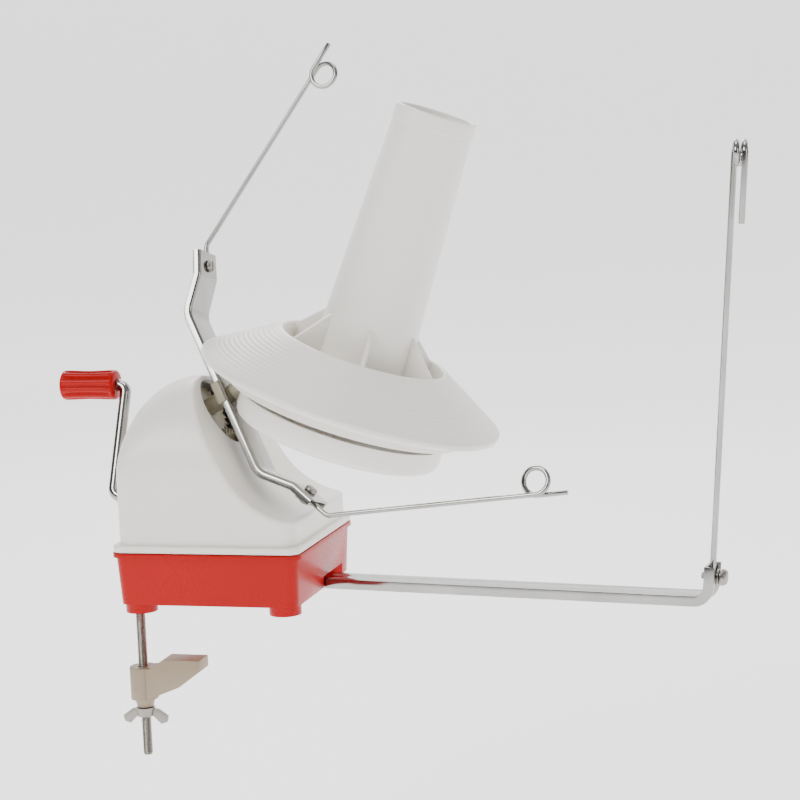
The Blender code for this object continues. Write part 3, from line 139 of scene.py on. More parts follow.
@dataclass(frozen=True)
class Finish:
    """A finish with slow colour drift, fine grain and uneven gloss."""

    name: str
    colour: tuple[float, float, float]
    tint: tuple[float, float, float]
    gloss: tuple[float, float] = (0.3, 0.4)
    metallic: float = 0.0
    coat: float = 0.0
    drift: float = 18.0
    grain: float = 900.0
    stretch: tuple[float, float, float] = (1.0, 1.0, 1.0)
    bump: float = 0.02
    depth: float = 0.0002
    wear: float = 0.0
    soft: float = 0.0
    specular: float = 0.5

    SLOW_OCTAVES = 3
    GRAIN_OCTAVES = 4
    MARK_OCTAVES = 5
    MARKS_PER_METRE = 140
    MARK_RANGE = (0.62, 0.74)
    MARK_COLOUR = (0.55, 0.5, 0.45, 1)
    COAT_ROUGHNESS = 0.12
    SOFT_RADIUS = (0.004, 0.003, 0.002)

    def build(self) -> bpy.types.Material:
        """Makes the material.

        Returns:
            A material on Object coordinates.
        """
        made = bpy.data.materials.new(self.name)
        made.use_nodes = True
        shader = made.node_tree.nodes["Principled BSDF"]
        tree = NodeTree(made.node_tree)
        place = tree.node("ShaderNodeTexCoord").outputs["Object"]
        stretched = tree.node("ShaderNodeMapping", place)
        stretched.inputs["Scale"].default_value = self.stretch
        slow = self.noise(tree, place, self.drift, self.SLOW_OCTAVES)
        grain = self.noise(tree, stretched.outputs[0], self.grain, self.GRAIN_OCTAVES)
        colour = tree.node("ShaderNodeMix", data_type="RGBA")
        tree.fill(colour.inputs["Factor"], slow)
        tree.fill(colour.inputs["A"], (*self.colour, 1))
        tree.fill(colour.inputs["B"], (*self.tint, 1))
        shade = colour.outputs["Result"]
        if self.wear:
            shade = self.worn(tree, shade, place)
        tree.fill(shader.inputs["Base Color"], shade)
        both = tree.math("MULTIPLY", tree.math("ADD", slow, grain), 0.5)
        low, high = self.gloss
        gloss = tree.math("MULTIPLY_ADD", both, high - low, low)
        tree.fill(shader.inputs["Roughness"], gloss)
        bump = tree.node("ShaderNodeBump")
        bump.inputs["Strength"].default_value = self.bump
        bump.inputs["Distance"].default_value = self.depth
        tree.fill(bump.inputs["Height"], grain)
        tree.fill(shader.inputs["Normal"], bump.outputs[0])
        shader.inputs["Metallic"].default_value = self.metallic
        shader.inputs["Coat Weight"].default_value = self.coat
        shader.inputs["Coat Roughness"].default_value = self.COAT_ROUGHNESS
        shader.inputs["Specular IOR Level"].default_value = self.specular
        if self.soft:
            shader.inputs["Subsurface Weight"].default_value = self.soft
            shader.inputs["Subsurface Radius"].default_value = self.SOFT_RADIUS
        return made

    @staticmethod
    def noise(tree: NodeTree, place: bpy.types.NodeSocket, scale: float,
              detail: float) -> bpy.types.NodeSocket:
        """Adds a noise texture.

        Args:
            tree: the shader's tree.
            place: coordinates.
            scale: noise scale per metre.
            detail: octaves.

        Returns:
            The noise value.
        """
        made = tree.node("ShaderNodeTexNoise")
        tree.fill(made.inputs["Vector"], place)
        made.inputs["Scale"].default_value = scale
        made.inputs["Detail"].default_value = detail
        return made.outputs[0]

    def worn(self, tree: NodeTree, shade: bpy.types.NodeSocket,
             place: bpy.types.NodeSocket) -> bpy.types.NodeSocket:
        """Darkens sparse small marks.

        Args:
            tree: the shader's tree.
            shade: the colour so far.
            place: coordinates.

        Returns:
            The colour with marks.
        """
        marks = self.noise(tree, place, self.MARKS_PER_METRE, self.MARK_OCTAVES)
        ramp = tree.node("ShaderNodeValToRGB", marks)
        for element, position in zip(ramp.color_ramp.elements, self.MARK_RANGE):
            element.position = position
        amount = tree.math("MULTIPLY", ramp.outputs[0], self.wear)
        mixed = tree.node("ShaderNodeMix", data_type="RGBA", blend_type="MULTIPLY")
        tree.fill(mixed.inputs["Factor"], amount)
        tree.fill(mixed.inputs["A"], shade)
        tree.fill(mixed.inputs["B"], self.MARK_COLOUR)
        return mixed.outputs["Result"]


class Paintbox:
    """The winder's finishes, each made once."""

    recipes = {
        Slot.RED: Finish("moulded_red", (0.42, 0.0015, 0.001), (0.35, 0.001, 0.001),
                         gloss=(0.2, 0.36), bump=0.015, specular=0.16),
        Slot.WHITE: Finish("moulded_cream_white", (0.9, 0.87, 0.815), (0.87, 0.835, 0.775),
                           gloss=(0.3, 0.46), coat=0.12, bump=0.025, wear=0.05, soft=0.08),
        Slot.BEIGE: Finish("moulded_tan", (0.36, 0.28, 0.19), (0.28, 0.21, 0.14),
                           gloss=(0.4, 0.55), bump=0.08, drift=60, stretch=(0.3, 1, 1), wear=0.25),
        Slot.NYLON: Finish("gear_nylon", (0.42, 0.38, 0.28), (0.34, 0.3, 0.21),
                           gloss=(0.38, 0.5), bump=0.05, wear=0.2),
        Slot.CHROME: Finish("bright_chrome", (0.42, 0.415, 0.4), (0.27, 0.265, 0.25),
                            gloss=(0.06, 0.2), metallic=1.0, drift=45, grain=1600, bump=0.02,
                            depth=0.0001, wear=0.2),
        Slot.STEEL: Finish("zinc_plated_steel", (0.36, 0.34, 0.31), (0.24, 0.225, 0.2),
                           gloss=(0.25, 0.45), metallic=1.0, drift=120, grain=2200, bump=0.06,
                           depth=0.0001, wear=0.4),
        Slot.BRASS: Finish("turned_brass", (0.72, 0.5, 0.22), (0.6, 0.4, 0.18),
                           gloss=(0.2, 0.35), metallic=1.0, grain=1800, bump=0.04, depth=0.0001),
    }

    def __init__(self) -> None:
        """Builds every finish."""
        self.made = {slot: recipe.build() for slot, recipe in self.recipes.items()}

    def __getitem__(self, slot: Slot) -> bpy.types.Material:
        """The material of a slot."""
        return self.made[slot]


# ---------------------------------------------------------------- shapes


def link(name: str, mesh: bpy.types.Mesh) -> bpy.types.Object:
    """Puts a mesh in the scene.

    Args:
        name: the object's name.
        mesh: its mesh.

    Returns:
        The object.
    """
    made = bpy.data.objects.new(name, mesh)
    bpy.context.scene.collection.objects.link(made)
    return made


def close_mesh(name: str, work: bmesh.types.BMesh) -> bpy.types.Object:
    """Merges doubles, turns faces outwards and links the result.

    Args:
        name: the object's name.
        work: the mesh being made, which is freed.

    Returns:
        The object.
    """
    bmesh.ops.remove_doubles(work, verts=work.verts, dist=MERGE)
    bmesh.ops.recalc_face_normals(work, faces=work.faces)
    mesh = bpy.data.meshes.new(name)
    work.to_mesh(mesh)
    work.free()
    return link(name, mesh)


def loft(name: str, rings: Sequence[Sequence[Vector]]) -> bpy.types.Object:
    """A closed solid through rings of points.

    Args:
        name: the object's name.
        rings: rings with the same number of points.

    Returns:
        The object.
    """
    work = bmesh.new()
    loops = [[work.verts.new(point) for point in ring] for ring in rings]
    for first, second in zip(loops, loops[1:]):
        for i in range(len(first)):
            j = (i + 1) % len(first)
            work.faces.new((first[i], first[j], second[j], second[i]))
    work.faces.new(loops[0])
    work.faces.new(loops[-1])
    return close_mesh(name, work)


def turned(name: str, profile: Sequence[tuple[float, float]], segments: int = 96) -> bpy.types.Object:
    """A closed profile of radius and height turned about Z.

    Args:
        name: the object's name.
        profile: (radius, height) points.
        segments: steps of a full turn.

    Returns:
        The object.
    """
    work = bmesh.new()
    ring = [work.verts.new((radius, 0, height)) for radius, height in profile]
    count = len(ring)
    edges = []
    for i in range(count):
        first, second = ring[i], ring[(i + 1) % count]
        if max(first.co.x, second.co.x) > FINE_MERGE:
            edges.append(work.edges.new((first, second)))
    bmesh.ops.spin(work, geom=ring + edges, cent=(0, 0, 0), axis=(0, 0, 1), angle=math.tau,
                   steps=segments, use_merge=True)
    return close_mesh(name, work)


def rod(name: str, radius: float, low: float, high: float, segments: int = 96) -> bpy.types.Object:
    """A cylinder along Z from low to high."""
    return turned(name, [(0, low), (radius, low), (radius, high), (0, high)], segments)


def side_prism(name: str, outline: Iterable[Sequence[float]], half_width: float) -> bpy.types.Object:
    """An outline in X and Z, given a width along Y.

    Args:
        name: the object's name.
        outline: (x, z) points.
        half_width: half of the width.

    Returns:
        The object.
    """
    points = [tuple(point) for point in outline]
    return loft(name, [[Vector((x, y, z)) for x, z in points] for y in (-half_width, half_width)])


def slab(name: str, outline: Iterable[Sequence[float]], low: float, high: float) -> bpy.types.Object:
    """An outline in X and Y, given a height along Z."""
    points = [tuple(point) for point in outline]
    return loft(name, [[Vector((x, y, z)) for x, y in points] for z in (low, high)])


def place(item: bpy.types.Object, matrix: Matrix) -> bpy.types.Object:
    """Moves an object's mesh, and leaves the object at the origin."""
    item.data.transform(matrix)
    return item


def settle(item: bpy.types.Object) -> bpy.types.Object:
    """Turns an object's modifiers into its mesh.

    Args:
        item: an object with modifiers.

    Returns:
        The same object, with none.
    """
    graph = bpy.context.evaluated_depsgraph_get()
    mesh = bpy.data.meshes.new_from_object(item.evaluated_get(graph))
    item.modifiers.clear()
    item.data = mesh
    return item


def combine(item: bpy.types.Object, tool: bpy.types.Object, way: Way) -> bpy.types.Object:
    """Cuts or joins a tool, which is then removed.

    Args:
        item: the solid that stays.
        tool: the other solid.
        way: cut or join.

    Returns:
        The solid.
    """
    modifier = item.modifiers.new("combine", "BOOLEAN")
    modifier.object = tool
    modifier.operation = way.value
    modifier.solver = "EXACT"
    settle(item)
    bpy.data.objects.remove(tool)
    return item


def soften(item: bpy.types.Object, width: float, segments: int = 3, angle: float = 35) -> bpy.types.Object:
    """Rounds the edges sharper than an angle.

    Args:
        item: a closed solid.
        width: width of the rounding.
        segments: its steps.
        angle: in degrees.

    Returns:
        The same object.
    """
    modifier = item.modifiers.new("round", "BEVEL")
    modifier.width = width
    modifier.segments = segments
    modifier.limit_method = "ANGLE"
    modifier.angle_limit = math.radians(angle)
    modifier.use_clamp_overlap = True
    modifier.harden_normals = False
    return settle(item)


def smooth(item: bpy.types.Object, angle: float = 40) -> bpy.types.Object:
    """Shades an object smooth, and keeps its sharp edges.

    Args:
        item: the object.
        angle: edges over this many degrees stay sharp.

    Returns:
        The same object.
    """
    item.data.shade_smooth()
    item.data.set_sharp_from_angle(angle=math.radians(angle))
    return item


def copy_node(node: str, name: str) -> bpy.types.Object:
    """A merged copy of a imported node's mesh, with its flat areas made whole.

    Args:
        node: the node.
        name: the copy's name.

    Returns:
        The copy.
    """
    work = bmesh.new()
    work.from_mesh(frame["nodes"][node].data)
    bmesh.ops.remove_doubles(work, verts=work.verts, dist=MERGE)
    bmesh.ops.dissolve_limit(work, angle_limit=math.radians(1), verts=work.verts, edges=work.edges)
    mesh = bpy.data.meshes.new(name)
    work.to_mesh(mesh)
    work.free()
    return link(name, mesh)


def rounded_path(points: Sequence[Vector], radius: float, steps: int = 10) -> list[Vector]:
    """Replaces each inner corner of a path by an arc.

    Args:
        points: corners.
        radius: radius of the bends.
        steps: steps of each arc.

    Returns:
        The path's points.
    """
    path = [points[0]]
    for before, corner, after in zip(points, points[1:], points[2:]):
        back = (before - corner).normalized()
        ahead = (after - corner).normalized()
        turn = math.pi - back.angle(ahead)
        reach = radius * math.tan(turn / 2)
        centre = corner + (back + ahead).normalized() * radius / math.cos(turn / 2)
        start = corner + back * reach - centre
        finish = corner + ahead * reach - centre
        for i in range(steps + 1):
            share = i / steps
            blend = start * math.sin((1 - share) * turn) + finish * math.sin(share * turn)
            path.append(centre + blend / math.sin(turn))
    path.append(points[-1])
    return path


def arc(centre: tuple[float, float], radius: float, start: float, finish: float,
        steps: int = 6) -> list[tuple[float, float]]:
    """Points of an arc.

    Args:
        centre: its centre.
        radius: its radius.
        start: first angle in degrees.
        finish: last angle in degrees.
        steps: number of steps.

    Returns:
        (x, y) points.
    """
    points = []
    for i in range(steps + 1):
        angle = math.radians(start + (finish - start) * i / steps)
        points.append((centre[0] + radius * math.cos(angle), centre[1] + radius * math.sin(angle)))
    return points


# ---------------------------------------------------------------- geometry nodes


class Grower:
    """Base of the geometry node trees: one modifier, named inputs, a plain mesh at the end."""

    name = "grower"
    sizes: dict[str, float] = {}

    def grow(self, item: bpy.types.Object, material: bpy.types.Material) -> bpy.types.Object:
        """Runs the tree on an object and keeps its result as a plain mesh.

        Args:
            item: the object whose mesh goes in.
            material: set on the result.

        Returns:
            The same object.
        """
        group = bpy.data.node_groups.new(self.name, "GeometryNodeTree")
        face = group.interface
        face.new_socket("Geometry", in_out="INPUT", socket_type="NodeSocketGeometry")
        sockets = {}
        for label, value in self.sizes.items():
            whole = isinstance(value, int)
            kind = "NodeSocketInt" if whole else "NodeSocketFloat"
            sockets[label] = face.new_socket(label, in_out="INPUT", socket_type=kind)
        face.new_socket("Geometry", in_out="OUTPUT", socket_type="NodeSocketGeometry")
        tree = NodeTree(group)
        start = tree.node("NodeGroupInput")
        shape = self.shape(tree, start)
        whole_mesh = tree.node("GeometryNodeRealizeInstances", shape).outputs[0]
        dressed = tree.node("GeometryNodeSetMaterial", whole_mesh)
        dressed.inputs["Material"].default_value = material
        tree.node("NodeGroupOutput", dressed.outputs[0])
        modifier = item.modifiers.new(self.name, "NODES")
        modifier.node_group = group
        for label, value in self.sizes.items():
            modifier[sockets[label].identifier] = value
        return settle(item)

    def shape(self, tree: NodeTree, start: bpy.types.Node) -> bpy.types.NodeSocket:
        """Writes the tree between its input and the last nodes.

        Args:
            tree: the tree.
            start: the group's input node.

        Returns:
            The geometry.
        """
        raise NotImplementedError


class WireGrower(Grower):
    """Round wire along the edges of the object's mesh, with filled ends."""

    name = "wire"

    def __init__(self, radius: float, sides: int = 24) -> None:
        """Sets the wire's size.

        Args:
            radius: radius of the wire.
            sides: points round it.
        """
        self.sizes = {"Radius": radius, "Sides": sides}

    def shape(self, tree: NodeTree, start: bpy.types.Node) -> bpy.types.NodeSocket:
        """Sweeps a circle along the path.

        Args:
            tree: the tree.
            start: the group's input node.

        Returns:
            The wire.
        """
        path = tree.node("GeometryNodeMeshToCurve", start.outputs["Geometry"]).outputs[0]
        ring = tree.node("GeometryNodeCurvePrimitiveCircle", mode="RADIUS")
        tree.fill(ring.inputs["Resolution"], start.outputs["Sides"])
        tree.fill(ring.inputs["Radius"], start.outputs["Radius"])
        sweep = tree.node("GeometryNodeCurveToMesh")
        tree.fill(sweep.inputs["Curve"], path)
        tree.fill(sweep.inputs["Profile Curve"], ring.outputs[0])
        sweep.inputs["Fill Caps"].default_value = True
        return sweep.outputs[0]


class CircleGrower(Grower):
    """Copies of the object's mesh, evenly spaced round Z."""

    name = "round_the_axis"

    def __init__(self, count: int, turn: float = 0.0) -> None:
        """Sets the ring.

        Args:
            count: number of copies.
            turn: where the first one stands, in radians.
        """
        self.sizes = {"Count": count, "Turn": turn}

    def shape(self, tree: NodeTree, start: bpy.types.Node) -> bpy.types.NodeSocket:
        """Instances the input on points at the axis, each turned by its share.

        Args:
            tree: the tree.
            start: the group's input node.

        Returns:
            The ring of copies.
        """
        points = tree.node("GeometryNodePoints", start.outputs["Count"]).outputs[0]
        index = tree.node("GeometryNodeInputIndex").outputs[0]
        share = tree.math("DIVIDE", index, start.outputs["Count"])
        angle = tree.math("MULTIPLY_ADD", share, math.tau, start.outputs["Turn"])
        turn = tree.node("ShaderNodeCombineXYZ", None, None, angle).outputs[0]
        copies = tree.node("GeometryNodeInstanceOnPoints")
        tree.fill(copies.inputs["Points"], points)
        tree.fill(copies.inputs["Instance"], start.outputs["Geometry"])
        tree.fill(copies.inputs["Rotation"], turn)
        return copies.outputs[0]


class ThreadGrower(Grower):
    """A threaded rod along Z, its ridge one continuous helix."""

    name = "thread"
    half_grid = 0.5
    chamfer = 1.2 * MM
    chamfer_slope = 0.6

    def __init__(self, radius: float, depth: float, pitch: float, low: float, high: float,
                 round_count: int = 28, rows_per_turn: int = 6) -> None:
        """Sets the thread.

        Args:
            radius: outer radius.
            depth: depth of the thread.
            pitch: rise of one turn.
            low: lower end.
            high: upper end.
            round_count: columns round the rod.
            rows_per_turn: rows in one pitch.
        """
        rows = int((high - low) / pitch * rows_per_turn)
        self.sizes = {"Radius": radius, "Depth": depth, "Pitch": pitch, "Low": low,
                      "Length": high - low, "Columns": round_count + 1, "Rows": rows}

    def shape(self, tree: NodeTree, start: bpy.types.Node) -> bpy.types.NodeSocket:
        """Rolls a grid into a rod whose radius follows the helix.

        Args:
            tree: the tree.
            start: the group's input node.

        Returns:
            The rod.
        """
        grid = tree.node("GeometryNodeMeshGrid", 1.0, 1.0, start.outputs["Columns"],
                         start.outputs["Rows"]).outputs[0]
        split = tree.node("ShaderNodeSeparateXYZ", tree.node("GeometryNodeInputPosition").outputs[0])
        around = tree.math("ADD", split.outputs[0], self.half_grid)
        along = tree.math("ADD", split.outputs[1], self.half_grid)
        rise = tree.math("MULTIPLY", along, start.outputs["Length"])
        height = tree.math("ADD", rise, start.outputs["Low"])
        phase = tree.math("SUBTRACT", tree.math("DIVIDE", rise, start.outputs["Pitch"]), around)
        wave = tree.math("MULTIPLY", tree.math("PINGPONG", phase, 0.5), 2.0)
        to_end = tree.math("MINIMUM", rise, tree.math("SUBTRACT", start.outputs["Length"], rise))
        left = tree.math("SUBTRACT", self.chamfer, to_end)
        chamfered = tree.math("MAXIMUM", tree.math("MULTIPLY", left, self.chamfer_slope), 0.0)
        dip = tree.math("MULTIPLY", wave, start.outputs["Depth"])
        reach = tree.math("SUBTRACT", start.outputs["Radius"], tree.math("MAXIMUM", dip, chamfered))
        open_end = tree.math("GREATER_THAN", to_end, MERGE)
        reach = tree.math("MULTIPLY", reach, open_end)
        angle = tree.math("MULTIPLY", around, math.tau)
        x = tree.math("MULTIPLY", reach, tree.math("COSINE", angle))
        y = tree.math("MULTIPLY", reach, tree.math("SINE", angle))
        spot = tree.node("ShaderNodeCombineXYZ", x, y, height).outputs[0]
        rolled = tree.node("GeometryNodeSetPosition", grid)
        tree.fill(rolled.inputs["Position"], spot)
        merged = tree.node("GeometryNodeMergeByDistance", rolled.outputs[0])
        merged.inputs["Distance"].default_value = MERGE
        return merged.outputs[0]


def path_object(name: str, points: Sequence[Vector]) -> bpy.types.Object:
    """An open path of edges, for a wire.

    Args:
        name: the object's name.
        points: the path.

    Returns:
        The object.
    """
    mesh = bpy.data.meshes.new(name)
    edges = [(i, i + 1) for i in range(len(points) - 1)]
    mesh.from_pydata([tuple(point) for point in points], edges, [])
    return link(name, mesh)


def wire(name: str, points: Sequence[Vector], radius: float, material: bpy.types.Material,
         matrix: Matrix) -> bpy.types.Object:
    """Round wire along a path.

    Args:
        name: the piece's name.
        points: the path in local coordinates.
        radius: wire radius.
        material: its finish.
        matrix: from local coordinates to the frame's.

    Returns:
        The wire.
    """
    item = WireGrower(radius).grow(path_object(name, points), material)
    place(item, matrix)
    work = bmesh.new()
    work.from_mesh(item.data)
    bmesh.ops.remove_doubles(work, verts=work.verts, dist=FINE_MERGE)
    bmesh.ops.recalc_face_normals(work, faces=work.faces)
    work.to_mesh(item.data)
    work.free()
    return soften(item, radius * WIRE_END_ROUND, 2, 60)


# ---------------------------------------------------------------- frame of the winder


@dataclass
class Layout:
    """Axes of the winder, read from the frame's joints."""

    joints: dict[str, dict] = field(default_factory=lambda: {j["name"]: j for j in frame["joints"]})
    flyer_turn: float = math.radians(-19)
    crank_turn: float = math.radians(-21.5)

    def along(self, joint: str) -> Matrix:
        """A frame whose Z is the joint's axis, kept in the plane of X and Z.

        Args:
            joint: the joint's name.

        Returns:
            The frame.
        """
        found = self.joints[joint]
        axis = Vector(found["axis"])
        tilt = math.atan2(axis.x, axis.z)
        return Matrix.Translation(found["pos_m"]) @ Matrix.Rotation(tilt, 4, "Y")

    @property
    def flyer_axis(self) -> Matrix:
        """Z along the flyer's post, from the web's front."""
        return self.along("flyer_turn")

    @property
    def flyer_bar(self) -> Matrix:
        """The flyer's own frame at rest."""
        return self.flyer_axis @ Matrix.Rotation(self.flyer_turn, 4, "Z")

    @property
    def spindle(self) -> Matrix:
        """Z up the cone, from where the two tilted axes meet."""
        return self.along("cone_turn")

    @property
    def crank_axis(self) -> Matrix:
        """Z along the crank shaft."""
        return self.along("crank_turn")

    @property
    def crank_arm(self) -> Matrix:
        """X along the shaft, Z up the crank's arm."""
        height = self.joints["crank_turn"]["pos_m"][2]
        return Matrix.Translation((0, 0, height)) @ Matrix.Rotation(self.crank_turn, 4, "X")

    @property
    def clamp(self) -> Vector:
        """Where the clamp rod stands."""
        spot = self.joints["wing_nut_turn"]["pos_m"]
        return Vector((spot[0], spot[1], 0))


@dataclass(frozen=True)
class Rounding:
    """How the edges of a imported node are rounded."""

    width: float
    segments: int = 2
    angle: float = 35


class Workshop:
    """Dresses pieces and hands them to the frame."""

    refined_sharp = 32

    def __init__(self) -> None:
        """Reads bodies and slots, and makes the finishes."""
        self.paint = Paintbox()
        record = frame["record"]
        self.slot_of = {s["node"]: Slot(s["material_slot"]) for s in record["subparts"]}
        self.body_of = {n: b for b, nodes in record["behaviour"]["bodies"].items() for n in nodes}
        self.done: set[str] = set()
        self.layout = Layout()

    def hand_over(self, item: bpy.types.Object, node: str, stands_for: Sequence[str] = (),
                  angle: float = 40) -> None:
        """Gives a piece its finish, body and slot.

        Args:
            item: the finished piece.
            node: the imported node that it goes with.
            stands_for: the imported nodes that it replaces.
            angle: edges over this many degrees stay sharp.
        """
        slot = self.slot_of[node]
        item.data.materials.clear()
        item.data.materials.append(self.paint[slot])
        for polygon in item.data.polygons:
            polygon.material_index = 0
        smooth(item, angle)
        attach(item, self.body_of[node])
        if stands_for:
            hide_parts(*stands_for)
            self.done.update(stands_for)
        log.info("%s: %d faces on %s", item.name, len(item.data.polygons), self.body_of[node])

    def refine(self, roundings: dict[str, Rounding]) -> None:
        """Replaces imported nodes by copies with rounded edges.

        Args:
            roundings: how each node is rounded.
        """
        for node, rounding in roundings.items():
            item = copy_node(node, node + "_fine")
            soften(item, rounding.width, rounding.segments, rounding.angle)
            self.hand_over(item, node, [node], self.refined_sharp)


# ---------------------------------------------------------------- housing


@dataclass
class Housing:
    """Red base and white loaf-shaped cover."""

    shop: Workshop
    length: float = 98.5 * MM
    width: float = 97 * MM
    seat: float = 31.3 * MM
    setback: float = 2.8 * MM
    wall: float = 2.4 * MM
    corner: float = 7 * MM
    arch_spring: float = 68.5 * MM
    arch_top: float = 114 * MM
    back_shoulder: float = 86 * MM
    back_round: float = 32 * MM
    low_front: float = 46.5 * MM
    front_blend: float = 45 * MM
    front_rise: float = 120 * MM
    face_setback: float = 10.2 * MM
    opening_radius: float = 18.5 * MM
    opening_drop: float = 5 * MM
    opening_span: tuple[float, float] = (-35 * MM, 5 * MM)
    shaft_hole: float = 4.9 * MM
    shaft_span: tuple[float, float] = (-60 * MM, -30 * MM)
    flange_inset: float = 0.4 * MM
    flange_corner: float = 6 * MM
    flange_height: float = 3.4 * MM
    flange_lap: float = 0.6
    flange_round: float = 0.6 * MM
    window_span: tuple[float, float] = (-5 * MM, 9 * MM)
    inside_below: float = 3 * MM
    under_margin: float = 10 * MM
    under_depth: float = 20 * MM
    arch_step: int = 4
    straight_steps: int = 10
    corner_step: int = 10
    voxel: float = 0.85 * MM
    ease: float = 0.5
    ease_rounds: int = 14
    base_round: Rounding = Rounding(0.7 * MM, 3, 30)

    def build(self) -> None:
        """Makes the cover and rounds the base."""
        self.shop.refine({"base": self.base_round})
        self.shop.hand_over(self.cover(), "cover", ["cover"], 30)

    def stations(self, half_x: float, corner: float, centre: float) -> list[float]:
        """Where the cover's cross-sections stand, from its back to its front.

        Args:
            half_x: half of the length.
            corner: radius of the upright corners.
            centre: where the back starts to round off.

        Returns:
            Places along X.
        """
        span = centre + half_x
        steps = self.straight_steps
        back = [-half_x + span * (1 - math.cos(math.radians(a))) for a in range(0, 91, self.arch_step)]
        straight = [centre + (half_x - corner - centre) * i / steps for i in range(1, steps + 1)]
        turns = range(self.corner_step, 91, self.corner_step)
        return back + straight + [half_x - corner * (1 - math.sin(math.radians(a))) for a in turns]

    def loaf(self, name: str, inset: float, bottom: float) -> bpy.types.Object:
        """The cover's body before its front is cut.

        Args:
            name: the object's name.
            inset: how far inside the outer surface.
            bottom: height of its lower end.

        Returns:
            The solid.
        """
        half_x = self.length / 2 - self.setback - inset
        half_y = self.width / 2 - self.setback - inset
        corner = self.corner - inset
        centre = -(self.length / 2 - self.setback) + self.back_round
        span = centre + half_x
        rings = []
        for x in self.stations(half_x, corner, centre):
            from_end = min(x + half_x, half_x - x)
            wide = half_y
            if from_end < corner:
                wide += math.sqrt(max(corner ** 2 - (corner - from_end) ** 2, 0)) - corner
            top = self.arch_top - inset
            if x < centre:
                share = min((centre - x) / span, 1)
                rise = (self.arch_top - self.back_shoulder) * math.sqrt(1 - share ** 2)
                top = self.back_shoulder - inset + rise
            ring = [Vector((x, wide, bottom))]
            for i in range(0, 181, self.arch_step):
                angle = math.radians(i)
                height = self.arch_spring + (top - self.arch_spring) * math.sin(angle)
                ring.append(Vector((x, wide * math.cos(angle), height)))
            ring.append(Vector((x, -wide, bottom)))
            rings.append(ring)
        return loft(name, rings)

    def front(self, name: str, inset: float) -> bpy.types.Object:
        """What is cut away in front of the sloping face.

        Args:
            name: the object's name.
            inset: how far inside the outer surface.

        Returns:
            The cutter.
        """
        axis = self.shop.layout.flyer_axis
        normal = axis.to_3x3() @ Vector((0, 0, 1))
        down = axis.to_3x3() @ Vector((1, 0, 0))
        to_centre = self.front_blend - self.face_setback
        level = self.low_front + self.front_blend
        start = axis.translation + normal * to_centre
        centre = start + down * ((start.z - level) / -down.z)
        first = 180 + math.degrees(math.atan2(normal.z, normal.x))
        bend = arc((centre.x, centre.z), self.front_blend + inset, first, 270, 24)
        top = (bend[0][0] - down.x * self.front_rise, bend[0][1] - down.z * self.front_rise)
        outline = [top] + bend + [(self.length, bend[-1][1]), (self.length, top[1])]
        return side_prism(name, outline, self.width)

    def skin(self) -> bpy.types.Object:
        """The cover's shell with eased edges.

        Returns:
            The shell.
        """
        shell = combine(self.loaf("cover_shell", 0, self.seat), self.front("cover_front", 0), Way.CUT)
        inside = self.loaf("cover_inside", self.wall, self.seat - self.inside_below)
        combine(inside, self.front("cover_inner_front", self.wall), Way.CUT)
        combine(shell, inside, Way.CUT)
        remesh = shell.modifiers.new("even_skin", "REMESH")
        remesh.mode = "VOXEL"
        remesh.voxel_size = self.voxel
        remesh.use_smooth_shade = True
        settle(shell)
        ease = shell.modifiers.new("ease", "SMOOTH")
        ease.factor = self.ease
        ease.iterations = self.ease_rounds
        return settle(shell)

    def flange(self) -> bpy.types.Object:
        """The rim that the cover stands on.

        Returns:
            A rounded frame.
        """
        flange = slab("cover_rim", self.outline(self.flange_inset, self.flange_corner), self.seat,
                      self.seat + self.flange_height)
        inset = self.setback + self.wall * self.flange_lap
        low, high = self.window_span
        window = slab("rim_window", self.outline(inset, self.flange_corner), self.seat + low,
                      self.seat + high)
        combine(flange, window, Way.CUT)
        return soften(flange, self.flange_round, 3, 50)

    def cover(self) -> bpy.types.Object:
        """The cover: its shell, its flange and its two holes.

        Returns:
            The cover.
        """
        shell = combine(self.skin(), self.flange(), Way.JOIN)
        below = slab("under_cut", self.outline(-self.under_margin, self.corner),
                     self.seat - self.under_depth, self.seat)
        combine(shell, below, Way.CUT)
        layout = self.shop.layout
        drop = Matrix.Translation((self.opening_drop, 0, 0))
        opening = place(rod("opening", self.opening_radius, *self.opening_span), layout.flyer_axis @ drop)
        combine(shell, opening, Way.CUT)
        shaft = place(rod("shaft_hole", self.shaft_hole, *self.shaft_span), layout.crank_axis)
        combine(shell, shaft, Way.CUT)
        shell.name = "cover_fine"
        return shell

    def outline(self, inset: float, corner: float) -> list[tuple[float, float]]:
        """A rounded rectangle inside the base's edge.

        Args:
            inset: how far inside.
            corner: corner radius.

        Returns:
            (x, y) points.
        """
        half_x = self.length / 2 - inset - corner
        half_y = self.width / 2 - inset - corner
        points = []
        for start, (sx, sy) in zip((0, 90, 180, 270), ((1, 1), (-1, 1), (-1, -1), (1, -1))):
            points += arc((sx * half_x, sy * half_y), corner, start, start + 90, 8)
        return points


# ---------------------------------------------------------------- cone and pan


